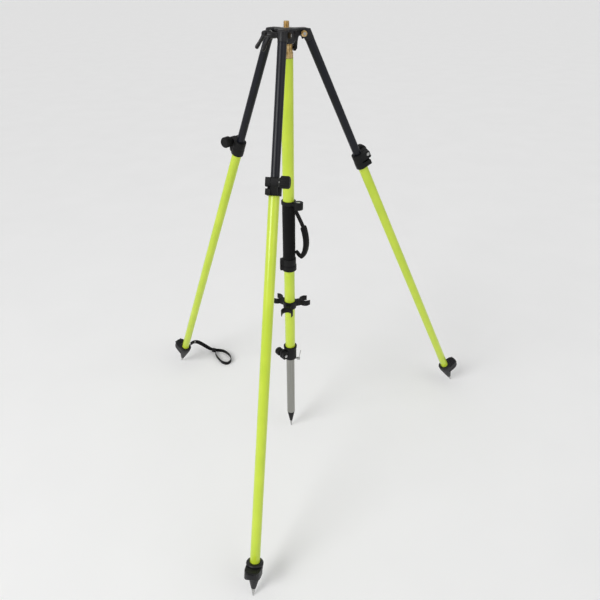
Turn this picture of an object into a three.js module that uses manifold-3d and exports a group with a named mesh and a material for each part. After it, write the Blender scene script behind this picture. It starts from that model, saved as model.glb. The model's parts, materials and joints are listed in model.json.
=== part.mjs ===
// Fixed-height surveying tripod with a centre staff, in millimetres, +Z up.
// The origin is the ground tip of the staff. The front leg points along -Y, and the other two
// stand 120 degrees either side of it. The instrument sits on the shoulder round the stud.
import * as THREE from "three";
import * as BufferGeometryUtils from "three/addons/utils/BufferGeometryUtils.js";
import Module from "manifold-3d";

const wasm = await Module();
wasm.setup();

// ---------------------------------------------------------------- driving dimensions
const GAP = 0.3; // clearance between pieces that touch
const FINE = 20; // sides of the tubes and of whatever runs on them
const COARSE = 12; // sides of bolts and knobs

const SEAT_HEIGHT = 1500; // shoulder that the instrument rests on
const STUD_RADIUS = 7.94; // 5/8 inch instrument stud
const STUD_TOP = SEAT_HEIGHT + 16;
const SPINDLE_RADIUS = 11;

const PLATE_TOP = 1498;
const PLATE_UNDERSIDE = 1493;
const BOSS_BOTTOM = 1461;
const LOCK_COLLAR_BOTTOM = 1424.5;

const HINGE_RADIUS = 46; // distance of a leg's hinge from the staff's axis
const HINGE_HEIGHT = 1484.5;
const BARREL_RADIUS = 8.2;
const BARREL_HALF = 7; // half length of the hub's hinge barrel
const ARM_HALF_WIDTH = 15;
const ARM_END = 58;
const CHEEK_OUTER = 12.6; // outside of the leg yoke's cheeks, from the leg's middle plane
const BOLT_RADIUS = 4;

const LEG_OFFSET = 13.5; // leg tube axis, outboard of its hinge axis
const POINT_FLAT = 1.5; // radius of the blunted end of a steel point
const UPPER_OD = 25;
const LOWER_OD = 31;
const LOWER_ID = 26.6;
const WALL = 2;
const LOWER_TUBE_TOP = 404; // distances down the leg from its hinge
const COLLAR_TOP = 371;
const COLLAR_SPLIT = 398; // where the collar's upper part ends
const COLLAR_SKIRT = 402; // where the part on the lower tube starts
const COLLAR_BOTTOM = 420;
const UPPER_TUBE_END = 950;
const CLAMP_BOLT_X = 27; // leg clamp's bolt, outboard of the tube's axis
const CLAMP_BOLT_S = 384; // and its distance down the leg
const SPLIT_Y = -6; // the leg collar's split, off its middle
const BOLT_HOLE_RADIUS = 3.4; // of the clamps' M6 bolts
const SHOE_CUP_TOP = 116; // heights above a leg's ground tip
const LEG_POINT_TOP = 27;

const STAFF_OD = 37;
const STAFF_ID = 31.8;
const INNER_OD = 31;
const INNER_ID = 26;
const STAFF_TUBE_BOTTOM = 410;
const STAFF_CLAMP_BOTTOM = 366;
const STAFF_CLAMP_TOP = 422;
const STAFF_BOLT_X = 32; // staff clamp's bolt, from the staff's axis
const STAFF_BOLT_Z = 392.5;
const PIN_HEIGHT = STAFF_CLAMP_BOTTOM - 4; // snap pin that the clamp rests on
const RING_EYE_X = 33; // eye of the pin's head, from the staff's axis
const INNER_TUBE_BOTTOM = 84;
const INNER_TUBE_TOP = 1010;
const GRIP_BOTTOM = 797;
const GRIP_TOP = 992;
const GRIP_OD = 43;
const LOW_COLLAR_BOTTOM = 752;
const VIAL_RADIUS = 36; // vial's distance from the staff's axis
const VIAL_BOTTOM = 986;
const VIAL_TOP = 1004;
const VIAL_WINDOW = 6.5; // radius of the glass that shows
const CLIP_BOTTOM = 596;
const CLIP_TOP = 624;
const SIDE_FITTINGS = -20; // direction of the vial and the hand strap, in degrees
const STAFF_CLAMP_EARS = -132; // direction of the staff clamp's ears, in degrees
const LOCK_SCREW_DIRECTION = 20;
const LOCK_SCREW_HEIGHT = 1451;

// Where each leg points, how far its ground tip is from the staff's axis, how far its clamping
// lever is turned outward in degrees, and whether its hinge bolt is put in from the other side.
const LEGS = [
  { side: "front", azimuth: -90, footRadius: 725, lever: 30, reversed: true },
  { side: "right", azimuth: 30, footRadius: 800, lever: 0, reversed: false },
  { side: "left", azimuth: 150, footRadius: 698, lever: 28, reversed: false },
];

// A leg's slope and length follow from where its hinge and its ground tip are.
function stanceOf(footRadius) {
  const reach = footRadius - HINGE_RADIUS;
  const hingeToFoot = Math.hypot(reach, HINGE_HEIGHT);
  const tilt = Math.atan2(reach, HINGE_HEIGHT) - Math.asin(LEG_OFFSET / hingeToFoot);
  const length = Math.sqrt(hingeToFoot ** 2 - LEG_OFFSET ** 2) - POINT_FLAT * Math.tan(tilt);
  return { tilt, length };
}
const LEG_LENGTH = stanceOf(LEGS[0].footRadius).length;
const FOLDED_LEG_RADIUS = HINGE_RADIUS + LEG_OFFSET;

// ---------------------------------------------------------------- materials
function material(color, roughness, metalness = 0) {
  return new THREE.MeshStandardMaterial({ color, roughness, metalness });
}
const neonPaint = () => material(0xc8dc42, 0.32);
const blackPaint = () => material(0x14161c, 0.35);
const blackPlastic = () => material(0x121214, 0.55);
const blackCasting = () => material(0x18191d, 0.5, 0.2);
const foam = () => material(0x101113, 0.9);
const webbing = () => material(0x0e0e10, 0.95);
const brass = () => material(0xc9a86a, 0.3, 1);
const steel = () => material(0xa9a9a6, 0.3, 1);
const anodised = () => material(0x8f8f8a, 0.4, 1);
const glass = () => material(0xdfe8d0, 0.08);
const nylon = () => material(0xd9d7cf, 0.6);

// ---------------------------------------------------------------- solid helpers
// A closed three.js geometry as a solid that can be joined and cut.
function solid(geometry) {
  const bare = geometry.clone();
  bare.deleteAttribute("normal");
  bare.deleteAttribute("uv");
  const merged = BufferGeometryUtils.mergeVertices(bare, 1e-4);
  return new wasm.Manifold(
    new wasm.Mesh({
      numProp: 3,
      vertProperties: new Float32Array(merged.attributes.position.array),
      triVerts: new Uint32Array(merged.index.array),
    }),
  );
}

function piece(name, body, finish) {
  const cut = body.getMesh();
  const geometry = new THREE.BufferGeometry();
  geometry.setAttribute("position", new THREE.BufferAttribute(cut.vertProperties, 3));
  geometry.setIndex(new THREE.BufferAttribute(cut.triVerts, 1));
  geometry.computeVertexNormals();
  const mesh = new THREE.Mesh(geometry, finish);
  mesh.name = name;
  return mesh;
}

function join(...bodies) {
  return bodies.reduce((whole, body) => whole.add(body));
}

function cut(body, ...tools) {
  return tools.reduce((rest, tool) => rest.subtract(tool), body);
}

// A round bar, or a cone, from one station to another along an axis.
function bar(radius, from, to, { axis = "z", sides = FINE, endRadius = radius } = {}) {
  const geometry = new THREE.CylinderGeometry(endRadius, radius, to - from, sides);
  geometry.translate(0, (from + to) / 2, 0);
  if (axis === "z") geometry.rotateX(Math.PI / 2);
  if (axis === "x") geometry.rotateZ(-Math.PI / 2);
  return solid(geometry);
}

function ring(outer, inner, from, to, options = {}) {
  return bar(outer, from, to, options).subtract(bar(inner, from - 1, to + 1, options));
}

function block(x0, x1, y0, y1, z0, z1) {
  const geometry = new THREE.BoxGeometry(x1 - x0, y1 - y0, z1 - z0);
  geometry.translate((x0 + x1) / 2, (y0 + y1) / 2, (z0 + z1) / 2);
  return solid(geometry);
}

// A turned piece about Z, from the corners of its half section.
function turned(corners, sides = FINE) {
  const profile = corners.map(([radius, height]) => new THREE.Vector2(radius, height));
  const geometry = new THREE.LatheGeometry(profile, sides);
  geometry.rotateX(Math.PI / 2);
  return solid(geometry);
}

// An outline in the X-Z plane, given thickness along Y.
function sidePlate(corners, y0, y1) {
  const shape = new THREE.Shape(corners.map(([x, z]) => new THREE.Vector2(x, z)));
  const geometry = new THREE.ExtrudeGeometry(shape, { depth: y1 - y0, bevelEnabled: false });
  geometry.rotateX(Math.PI / 2);
  geometry.translate(0, y1, 0);
  return solid(geometry);
}

// An outline in the X-Y plane, given height along Z.
function planPlate(shape, z0, z1, curveSegments = 10) {
  const options = { depth: z1 - z0, bevelEnabled: false, curveSegments };
  const geometry = new THREE.ExtrudeGeometry(shape, options);
  geometry.translate(0, 0, z0);
  return solid(geometry);
}

// ---------------------------------------------------------------- head
function hubArm() {
  return join(
    block(0, ARM_END, -ARM_HALF_WIDTH, ARM_HALF_WIDTH, PLATE_UNDERSIDE, PLATE_TOP),
    bar(BARREL_RADIUS, -BARREL_HALF, BARREL_HALF, { axis: "y" }).translate([
      HINGE_RADIUS, 0, HINGE_HEIGHT,
    ]),
    block(38, 48, -BARREL_HALF, BARREL_HALF, HINGE_HEIGHT, PLATE_UNDERSIDE + 1),
    sidePlate(
      [
        [18, BOSS_BOTTOM + 3],
        [26, BOSS_BOTTOM + 5],
        [40, HINGE_HEIGHT],
        [40, PLATE_UNDERSIDE + 1],
        [18, PLATE_UNDERSIDE + 1],
      ],
      -5,
      5,
    ),
  );
}

function headHub() {
  const plateRadius = 33;
  const bossRadius = 24;
  const body = turned([
    [0, BOSS_BOTTOM],
    [bossRadius - 4, BOSS_BOTTOM],
    [bossRadius, BOSS_BOTTOM + 6],
    [bossRadius, PLATE_UNDERSIDE],
    [plateRadius, PLATE_UNDERSIDE],
    [plateRadius, PLATE_TOP],
    [0, PLATE_TOP],
  ]);
  const arms = LEGS.map((leg) => hubArm().rotate([0, 0, leg.azimuth]));
  const boltHoles = LEGS.map((leg) =>
    bar(BOLT_RADIUS + GAP, -15, 15, { axis: "y", sides: COARSE })
      .translate([HINGE_RADIUS, 0, HINGE_HEIGHT])
      .rotate([0, 0, leg.azimuth]),
  );
  const spindleBore = bar(SPINDLE_RADIUS + 0.5, BOSS_BOTTOM - 5, PLATE_TOP + 5);
  return cut(join(body, ...arms), spindleBore, ...boltHoles);
}

// Split brass collar under the boss, with the tapped hole of its thumb screw.
function lockCollar() {
  const body = join(
    bar(17, LOCK_COLLAR_BOTTOM + 14, BOSS_BOTTOM - GAP),
    bar(18.2, LOCK_COLLAR_BOTTOM, LOCK_COLLAR_BOTTOM + 14.5),
  );
  const bore = bar(SPINDLE_RADIUS + 0.5, LOCK_COLLAR_BOTTOM - 5, BOSS_BOTTOM + 5);
  const splitDirection = -50;
  const split = block(0, 25, -0.8, 0.8, LOCK_COLLAR_BOTTOM - 5, BOSS_BOTTOM + 5)
    .rotate([0, 0, splitDirection]);
  const tapping = bar(BOLT_HOLE_RADIUS, 5, 30, { axis: "x", sides: COARSE })
    .translate([0, 0, LOCK_SCREW_HEIGHT])
    .rotate([0, 0, LOCK_SCREW_DIRECTION]);
  return cut(body, bore, split, tapping);
}

function lockScrew() {
  const tipRadius = SPINDLE_RADIUS + 0.8;
  return join(
    bar(3, tipRadius, 20, { axis: "x", sides: COARSE }),
    bar(9.5, 18.6, 26, { axis: "x" }),
    bar(6, 26, 29, { axis: "x", sides: COARSE, endRadius: 5 }),
  ).rotate([0, 0, LOCK_SCREW_DIRECTION]).translate([0, 0, LOCK_SCREW_HEIGHT]);
}

// The staff turns in the hub on this spindle, whose flange is the instrument's seat.
function spindle() {
  const plugRadius = STAFF_ID / 2 - 0.2;
  const body = turned([
    [0, LOCK_COLLAR_BOTTOM - 45],
    [plugRadius, LOCK_COLLAR_BOTTOM - 45],
    [plugRadius, LOCK_COLLAR_BOTTOM - GAP],
    [SPINDLE_RADIUS, LOCK_COLLAR_BOTTOM - GAP],
    [SPINDLE_RADIUS, PLATE_TOP + GAP],
    [16, PLATE_TOP + GAP],
    [16, SEAT_HEIGHT],
    [0, SEAT_HEIGHT],
  ]);
  return cut(body, bar(STUD_RADIUS + GAP, SEAT_HEIGHT - 20, SEAT_HEIGHT + 1));
}

function instrumentStud() {
  return turned([
    [0, SEAT_HEIGHT - 19.5],
    [STUD_RADIUS, SEAT_HEIGHT - 19.5],
    [STUD_RADIUS, STUD_TOP - 1.5],
    [STUD_RADIUS - 1.5, STUD_TOP],
    [0, STUD_TOP],
  ]);
}

// ---------------------------------------------------------------- hinge hardware
// These are drawn about the hinge axis, which is Y, in the arm's own upright frame.
function hingeBolt() {
  return bar(BOLT_RADIUS, -22, 30, { axis: "y", sides: COARSE });
}

function hingeNut() {
  const nut = join(
    bar(7.8, -20.5, -CHEEK_OUTER - 1, { axis: "y", sides: 6 }),
    bar(8, -CHEEK_OUTER - 1.6, -CHEEK_OUTER - GAP, { axis: "y", sides: COARSE }),
  );
  return cut(nut, bar(BOLT_RADIUS + GAP, -30, 0, { axis: "y", sides: COARSE }));
}

// Ratchet clamping lever: a waisted hub on the bolt's end and a handle that leans away from it.
function hingeLever(restAngle) {
  const hub = join(
    bar(6.5, CHEEK_OUTER + 0.6, 24, { axis: "y", sides: COARSE }),
    bar(7, 23, 30, { axis: "y", sides: COARSE, endRadius: 8.5 }),
    bar(8.5, 30, 44, { axis: "y", sides: COARSE, endRadius: 7.5 }),
  );
  const handleLength = 40;
  const lean = 22;
  const handle = join(
    bar(5.4, -handleLength, 0, { sides: COARSE, endRadius: 6.4 }),
    solid(new THREE.SphereGeometry(5.4, 12, 6)).translate([0, 0, -handleLength]),
  )
    .rotate([lean, 0, 0])
    .translate([0, 37, 0]);
  const socket = bar(BOLT_RADIUS + GAP, 0, 31, { axis: "y", sides: COARSE });
  return cut(join(hub, handle), socket).rotate([0, -restAngle, 0]);
}

// ---------------------------------------------------------------- legs
// These are drawn about the hinge axis in the leg's tilted frame: +X outward and square to
// the tube, +Y along the hinge, -Z down the leg.
function legKnuckle(tilt) {
  const rootRadius = UPPER_OD / 2 + 0.5;
  const rootEnd = -24;
  const cheek = (y0, y1) =>
    join(bar(BARREL_RADIUS, y0, y1, { axis: "y" }), block(-3, LEG_OFFSET, y0, y1, -16, -2));
  const root = bar(rootRadius, rootEnd, 26).translate([LEG_OFFSET, 0, 0]);
  const plug = bar(UPPER_OD / 2 - WALL - 0.2, -46, rootEnd + 2).translate([LEG_OFFSET, 0, 0]);
  const body = join(
    root,
    cheek(BARREL_HALF + 0.4, CHEEK_OUTER),
    cheek(-CHEEK_OUTER, -BARREL_HALF - 0.4),
    plug,
  );
  // Room for the arm, whose underside stops the leg, and nothing stands above the plate.
  const fromArm = (tool) =>
    tool
      .translate([-HINGE_RADIUS, 0, -HINGE_HEIGHT])
      .rotate([0, THREE.MathUtils.radToDeg(tilt), 0]);
  const armRoom = fromArm(block(-20, ARM_END + GAP, -20, 20, PLATE_UNDERSIDE - GAP, 1600));
  const abovePlate = fromArm(block(-20, 120, -20, 20, PLATE_TOP - 2, 1600));
  const barrelRoom = join(
    bar(BARREL_RADIUS + 0.6, -BARREL_HALF - 0.4, BARREL_HALF + 0.4, { axis: "y" }),
    block(-20, 6, -BARREL_HALF - 0.4, BARREL_HALF + 0.4, -14, 20),
  );
  const boltHole = bar(BOLT_RADIUS + 0.5, -20, 20, { axis: "y", sides: COARSE });
  return cut(body, armRoom, abovePlate, barrelRoom, boltHole);
}

function legTube(outer, inner, from, to) {
  return ring(outer / 2, inner / 2, -to, -from).translate([LEG_OFFSET, 0, 0]);
}

// Nylon bush that guides the upper tube's end inside the lower tube.
function guideBush() {
  const body = turned([
    [0, -UPPER_TUBE_END - 8],
    [LOWER_ID / 2 - 0.25, -UPPER_TUBE_END - 8],
    [LOWER_ID / 2 - 0.25, -UPPER_TUBE_END - GAP],
    [UPPER_OD / 2 - WALL - 0.2, -UPPER_TUBE_END - GAP],
    [UPPER_OD / 2 - WALL - 0.2, -UPPER_TUBE_END + 22],
    [0, -UPPER_TUBE_END + 22],
  ]);
  return body.translate([LEG_OFFSET, 0, 0]);
}

// Collar that is fast on the lower tube and pinches the upper one between split ears.
function legCollar() {
  const earEnd = -COLLAR_SPLIT + 1;
  const earStart = -COLLAR_TOP - 1;
  const grip = bar(20, -COLLAR_SPLIT, -COLLAR_TOP);
  const skirt = bar(20.5, -COLLAR_BOTTOM, -COLLAR_SPLIT + 0.5);
  const nearEar = block(6, 36, SPLIT_Y, 15.5, earEnd, earStart);
  const farEar = block(2, 34, -20.5, SPLIT_Y, earEnd, earStart);
  const skirtLug = block(2, 28, -20.5, -6, -COLLAR_BOTTOM + 1, -COLLAR_SKIRT);
  const upperBore = bar(UPPER_OD / 2 + 0.4, -COLLAR_BOTTOM - 5, -COLLAR_TOP + 5);
  const lowerBore = bar(LOWER_OD / 2 + GAP, -COLLAR_BOTTOM - 5, -LOWER_TUBE_TOP + GAP);
  const slit = block(4, 60, SPLIT_Y - 0.8, SPLIT_Y + 0.8, -COLLAR_SPLIT + 0.5, -COLLAR_TOP + 5);
  const relief = block(0, 60, -40, SPLIT_Y, -COLLAR_SKIRT, -COLLAR_SPLIT + 0.6);
  const boltHole = bar(BOLT_HOLE_RADIUS, -13, 30, { axis: "y", sides: COARSE });
  const nutPocket = bar(6.4, -30, -12.5, { axis: "y", sides: 6 });
  const boltRoom = join(boltHole, nutPocket).translate([CLAMP_BOLT_X, 0, -CLAMP_BOLT_S]);
  return cut(
    join(grip, skirt, nearEar, farEar, skirtLug),
    upperBore, lowerBore, slit, relief, boltRoom,
  ).translate([LEG_OFFSET, 0, 0]);
}

function clampBolt(headFrom, headTo, shankEnd) {
  return join(
    bar(3, headTo - 1, shankEnd, { axis: "y", sides: COARSE }),
    bar(6, headFrom, headTo, { axis: "y", sides: 6 }),
  );
}

// Round hand knob with a short neck, its axis along Y.
function clampKnob(neckFrom, gripFrom, gripTo, radius, shankEnd) {
  const body = join(
    bar(8, neckFrom, gripFrom + 1, { axis: "y", sides: COARSE }),
    bar(radius - 2, gripFrom, gripFrom + 2, { axis: "y", endRadius: radius }),
    bar(radius, gripFrom + 2, gripTo - 3, { axis: "y" }),
    bar(radius, gripTo - 3, gripTo, { axis: "y", endRadius: radius - 3 }),
  );
  const socket = bar(BOLT_HOLE_RADIUS, neckFrom - 5, shankEnd + GAP, { axis: "y", sides: COARSE });
  return cut(body, socket);
}

// Cast shoe: a cup on the tube's end, a tread that is stepped on, and a cone to the point.
function footShoe() {
  const up = (height) => height - LEG_LENGTH; // from a height above the leg's ground tip
  const cup = turned([
    [0, up(LEG_POINT_TOP)],
    [7.5, up(LEG_POINT_TOP)],
    [16, up(64)],
    [25, up(96)],
    [27, up(SHOE_CUP_TOP - 4)],
    [24, up(SHOE_CUP_TOP)],
    [0, up(SHOE_CUP_TOP)],
  ]);
  const treadCentre = 34;
  const treadRadius = 25;
  const treadPlan = new THREE.Shape();
  treadPlan.moveTo(0, -treadRadius - 1);
  treadPlan.lineTo(treadCentre, -treadRadius);
  treadPlan.absarc(treadCentre, 0, treadRadius, -Math.PI / 2, Math.PI / 2, false);
  treadPlan.lineTo(0, treadRadius + 1);
  treadPlan.closePath();
  const treadSide = [
    [0, up(66)], [22, up(70)], [56, up(80)], [60, up(86)],
    [58, up(108)], [48, up(112)], [0, up(108)],
  ];
  const tread = planPlate(treadPlan, up(66), up(120)).intersect(sidePlate(treadSide, -30, 30));
  const socket = bar(LOWER_OD / 2 + GAP, up(75), up(SHOE_CUP_TOP + 14));
  const pointHole = bar(5.3, up(LEG_POINT_TOP - 7), up(46), { sides: COARSE });
  return cut(join(cup, tread), socket, pointHole).translate([LEG_OFFSET, 0, 0]);
}

// Steel ground point with a shank that is driven into the casting above it.
function groundPoint(base, length, shankRadius, shankLength) {
  return turned([
    [0, 0],
    [POINT_FLAT, 0],
    [base, length - GAP],
    [shankRadius, length - GAP],
    [shankRadius, length + shankLength],
    [0, length + shankLength],
  ], COARSE);
}

// ---------------------------------------------------------------- staff
function staffGrip() {
  const outer = GRIP_OD / 2;
  const inner = STAFF_OD / 2 + GAP;
  return turned([
    [inner, GRIP_BOTTOM + GAP],
    [outer - 1.5, GRIP_BOTTOM + GAP],
    [outer, GRIP_BOTTOM + 3],
    [outer, GRIP_TOP - 3],
    [outer - 1.5, GRIP_TOP - GAP],
    [inner, GRIP_TOP - GAP],
    [inner, GRIP_BOTTOM + GAP],
  ]);
}

// Collar above the grip, with the round pocket that carries the circular vial.
function vialBracket() {
  const cup = bar(15.5, VIAL_BOTTOM - 5, VIAL_TOP).translate([VIAL_RADIUS, 0, 0]);
  const web = block(10, VIAL_RADIUS, -12, 12, 992, 1001);
  const collar = bar(24, GRIP_TOP, GRIP_TOP + 12);
  const pocket = bar(12.3, VIAL_BOTTOM, VIAL_TOP + 5).translate([VIAL_RADIUS, 0, 0]);
  const bore = bar(STAFF_OD / 2 + GAP, GRIP_TOP - 40, VIAL_TOP + 5);
  const gripRoom = bar(GRIP_OD / 2 + 0.5, GRIP_TOP - 40, GRIP_TOP);
  return cut(join(collar, web, cup), bore, gripRoom, pocket).rotate([0, 0, SIDE_FITTINGS]);
}

function vialCan() {
  const can = cut(
    bar(12, VIAL_BOTTOM + GAP, VIAL_TOP + 1),
    bar(VIAL_WINDOW + GAP, VIAL_BOTTOM + 6, VIAL_TOP + 5),
  );
  return can.translate([VIAL_RADIUS, 0, 0]).rotate([0, 0, SIDE_FITTINGS]);
}

function vialGlass() {
  return bar(VIAL_WINDOW, VIAL_BOTTOM + 6 + GAP, VIAL_TOP + 0.6)
    .translate([VIAL_RADIUS, 0, 0])
    .rotate([0, 0, SIDE_FITTINGS]);
}

function lowCollar() {
  const body = join(
    bar(25, LOW_COLLAR_BOTTOM, LOW_COLLAR_BOTTOM + 19),
    bar(23.5, LOW_COLLAR_BOTTOM + 19, GRIP_BOTTOM - GAP),
    block(15, 32, -12, 12, LOW_COLLAR_BOTTOM + 2, GRIP_BOTTOM - 6).rotate([0, 0, 190]),
  );
  return body.subtract(bar(STAFF_OD / 2 + GAP, LOW_COLLAR_BOTTOM - 5, GRIP_BOTTOM + 5));
}

// Middle line of the hand strap, as distance from the staff's axis and height.
const STRAP_LINE = [
  [24.5, 976], [33, 961], [45, 940], [57, 915], [64, 885], [65, 860], [60, 834], [49, 815],
  [40, 816], [31, 825], [24.5, 828],
];

// A band that follows part of the strap's line, so thick and so wide.
function strapBand(first, last, thickness, width) {
  const line = new THREE.CatmullRomCurve3(
    STRAP_LINE.map(([radius, height]) => new THREE.Vector3(radius, 0, height)),
  );
  const steps = 14;
  const samples = line.getPoints(steps * 2).filter((_, index, all) => {
    const share = index / (all.length - 1);
    return share >= first && share <= last;
  });
  const edge = (side) =>
    samples.map((point, index) => {
      const before = samples[Math.max(index - 1, 0)];
      const after = samples[Math.min(index + 1, samples.length - 1)];
      const along = after.clone().sub(before).normalize();
      const half = (side * thickness) / 2;
      return [point.x + half * along.z, point.z - half * along.x];
    });
  const outline = [...edge(1), ...edge(-1).reverse()];
  return sidePlate(outline, -width / 2, width / 2).rotate([0, 0, SIDE_FITTINGS]);
}

function handStrap() {
  return strapBand(0, 1, 2.4, 20);
}

// Padded sleeve that the strap runs through.
function handStrapPad() {
  return strapBand(0.24, 0.735, 14, 29).subtract(strapBand(0.15, 0.85, 3.4, 21));
}

// Three open jaws on one collar, which hold the folded legs.
function legClip() {
  const mouth = LOWER_OD / 2 + 0.8;
  const wall = 5;
  const tubeAt = [FOLDED_LEG_RADIUS, 0, 0];
  const jawTop = CLIP_TOP - 5;
  const jawBottom = CLIP_BOTTOM + 3;
  const jaw = (azimuth) => {
    const outside = join(
      bar(mouth + wall, jawBottom, jawTop).translate(tubeAt),
      block(
        FOLDED_LEG_RADIUS, FOLDED_LEG_RADIUS + 3, -mouth - wall, mouth + wall, jawBottom, jawTop,
      ),
      block(18, FOLDED_LEG_RADIUS - 10, -9, 9, jawBottom, jawTop),
    );
    const inside = join(
      bar(mouth / Math.cos(Math.PI / FINE), jawBottom - 2, jawTop + 2).translate(tubeAt),
      block(
        FOLDED_LEG_RADIUS, FOLDED_LEG_RADIUS + 40, -mouth, mouth, jawBottom - 2, jawTop + 2,
      ),
    );
    return outside.subtract(inside).rotate([0, 0, azimuth]);
  };
  const collar = bar(23.5, CLIP_BOTTOM, CLIP_TOP);
  const bore = bar(STAFF_OD / 2 + GAP, CLIP_BOTTOM - 5, CLIP_TOP + 5);
  return join(collar, ...LEGS.map((leg) => jaw(leg.azimuth))).subtract(bore);
}

// Collar that is fast on the staff tube and pinches the lower tube between split ears.
function staffClamp() {
  const body = join(
    bar(23, STAFF_CLAMP_BOTTOM, STAFF_CLAMP_TOP - 8),
    bar(25, STAFF_CLAMP_TOP - 9, STAFF_CLAMP_TOP),
    block(12, 42, -12, 12, 377, 408),
  );
  const bores = join(
    bar(INNER_OD / 2 + 0.4, STAFF_CLAMP_BOTTOM - 5, STAFF_CLAMP_TOP),
    bar(STAFF_OD / 2 + GAP, STAFF_TUBE_BOTTOM - GAP, STAFF_CLAMP_TOP + 5),
  );
  const slit = block(0, 60, -1.5, 1.5, STAFF_CLAMP_BOTTOM - 5, 409);
  const boltHole = bar(BOLT_HOLE_RADIUS, -30, 30, { axis: "y", sides: COARSE })
    .translate([STAFF_BOLT_X, 0, STAFF_BOLT_Z]);
  return cut(body, bores, slit, boltHole).rotate([0, 0, STAFF_CLAMP_EARS]);
}

function placedOnStaffClamp(body) {
  return body.translate([STAFF_BOLT_X, 0, STAFF_BOLT_Z]).rotate([0, 0, STAFF_CLAMP_EARS]);
}

// ---------------------------------------------------------------- lower staff

function staffLowerTube() {
  const body = ring(INNER_OD / 2, INNER_ID / 2, INNER_TUBE_BOTTOM, INNER_TUBE_TOP);
  const stops = [0, 300, 500]; // staff heights of 1.5, 1.8 and 2.0 m
  const holes = stops.map((rise) =>
    bar(3.6, -30, 30, { axis: "x", sides: 12 }).translate([0, 0, PIN_HEIGHT + rise]),
  );
  return cut(body, ...holes);
}

function staffCone() {
  return cut(
    turned([
      [0, 30],
      [5.5, 30],
      [15.3, INNER_TUBE_BOTTOM - GAP],
      [INNER_ID / 2 - 0.2, INNER_TUBE_BOTTOM - GAP],
      [INNER_ID / 2 - 0.2, INNER_TUBE_BOTTOM + 25],
      [0, INNER_TUBE_BOTTOM + 25],
    ]),
    bar(3.3, 20, 50, { sides: COARSE }),
  );
}

function staffGuideBush() {
  return cut(
    turned([
      [0, INNER_TUBE_TOP - 25],
      [INNER_ID / 2 - 0.2, INNER_TUBE_TOP - 25],
      [INNER_ID / 2 - 0.2, INNER_TUBE_TOP + GAP],
      [STAFF_ID / 2 - 0.2, INNER_TUBE_TOP + GAP],
      [STAFF_ID / 2 - 0.2, INNER_TUBE_TOP + 10],
      [0, INNER_TUBE_TOP + 10],
    ]),
    bar(8, INNER_TUBE_TOP - 40, INNER_TUBE_TOP + 40, { sides: COARSE }),
  );
}

// Pin through the lower tube, which the clamp rests on. Its head is flattened round the eye.
function snapPin() {
  const eye = bar(1.9, -10, 10, { axis: "y", sides: 12 }).translate([RING_EYE_X, 0, 0]);
  const flats = join(block(28.5, 45, 2.6, 10, -10, 10), block(28.5, 45, -10, -2.6, -10, 10));
  const body = join(
    bar(3, -21, 27, { axis: "x", sides: COARSE }),
    bar(5.5, 25.5, 37, { axis: "x", sides: COARSE }),
  );
  return cut(body, eye, flats).translate([0, 0, PIN_HEIGHT]);
}

// Wire pull ring through the eye of the pin, standing up beside the clamp.
function snapRing() {
  const radius = 18;
  const lean = THREE.MathUtils.degToRad(80);
  const geometry = new THREE.TorusGeometry(radius, 1.2, 6, 20);
  geometry.translate(radius, 0, 0);
  geometry.rotateY(-lean);
  geometry.translate(RING_EYE_X, 0, PIN_HEIGHT);
  return solid(geometry);
}

// ---------------------------------------------------------------- foot strap
// Middle line of the tie strap: from the left shoe down to the ground, and round its end loop.
const FOOT_STRAP_LINE = [
  [-549, 351, 104], [-541, 373, 100], [-529, 392, 88], [-515, 411, 63], [-502, 428, 37],
  [-488, 439, 17], [-472, 441, 8.4], [-451, 440, 7.8], [-426, 440, 7.8], [-398, 428, 7.8],
  [-371, 401, 7.8], [-361, 370, 7.8], [-371, 348, 7.8], [-396, 350, 7.8], [-422, 373, 7.8],
  [-444, 400, 7.8], [-457, 429, 7.8],
];

function footStrap() {
  const path = new THREE.CatmullRomCurve3(
    FOOT_STRAP_LINE.map(([x, y, z]) => new THREE.Vector3(x, y, z)),
  );
  // The band stands on its edge: 14 mm tall and 2.4 mm thick, with its corners taken off.
  const section = new THREE.Shape([
    [7, 0.7], [6.4, 1.2], [-6.4, 1.2], [-7, 0.7], [-7, -0.7], [-6.4, -1.2], [6.4, -1.2], [7, -0.7],
  ].map(([tall, thick]) => new THREE.Vector2(tall, thick)));
  return solid(
    new THREE.ExtrudeGeometry(section, { steps: 40, bevelEnabled: false, extrudePath: path }),
  );
}

// ---------------------------------------------------------------- assembly
function staffTube() {
  return ring(STAFF_OD / 2, STAFF_ID / 2, STAFF_TUBE_BOTTOM, LOCK_COLLAR_BOTTOM - 2 * GAP);
}

function staffClampBolt() {
  return placedOnStaffClamp(clampBolt(-16, -12.4, 32).rotate([0, 0, 180]));
}

function staffClampKnob() {
  return placedOnStaffClamp(clampKnob(12.5, 16, 38, 15, 32).rotate([0, 0, 180]));
}

const tripod = new THREE.Group();

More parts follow.
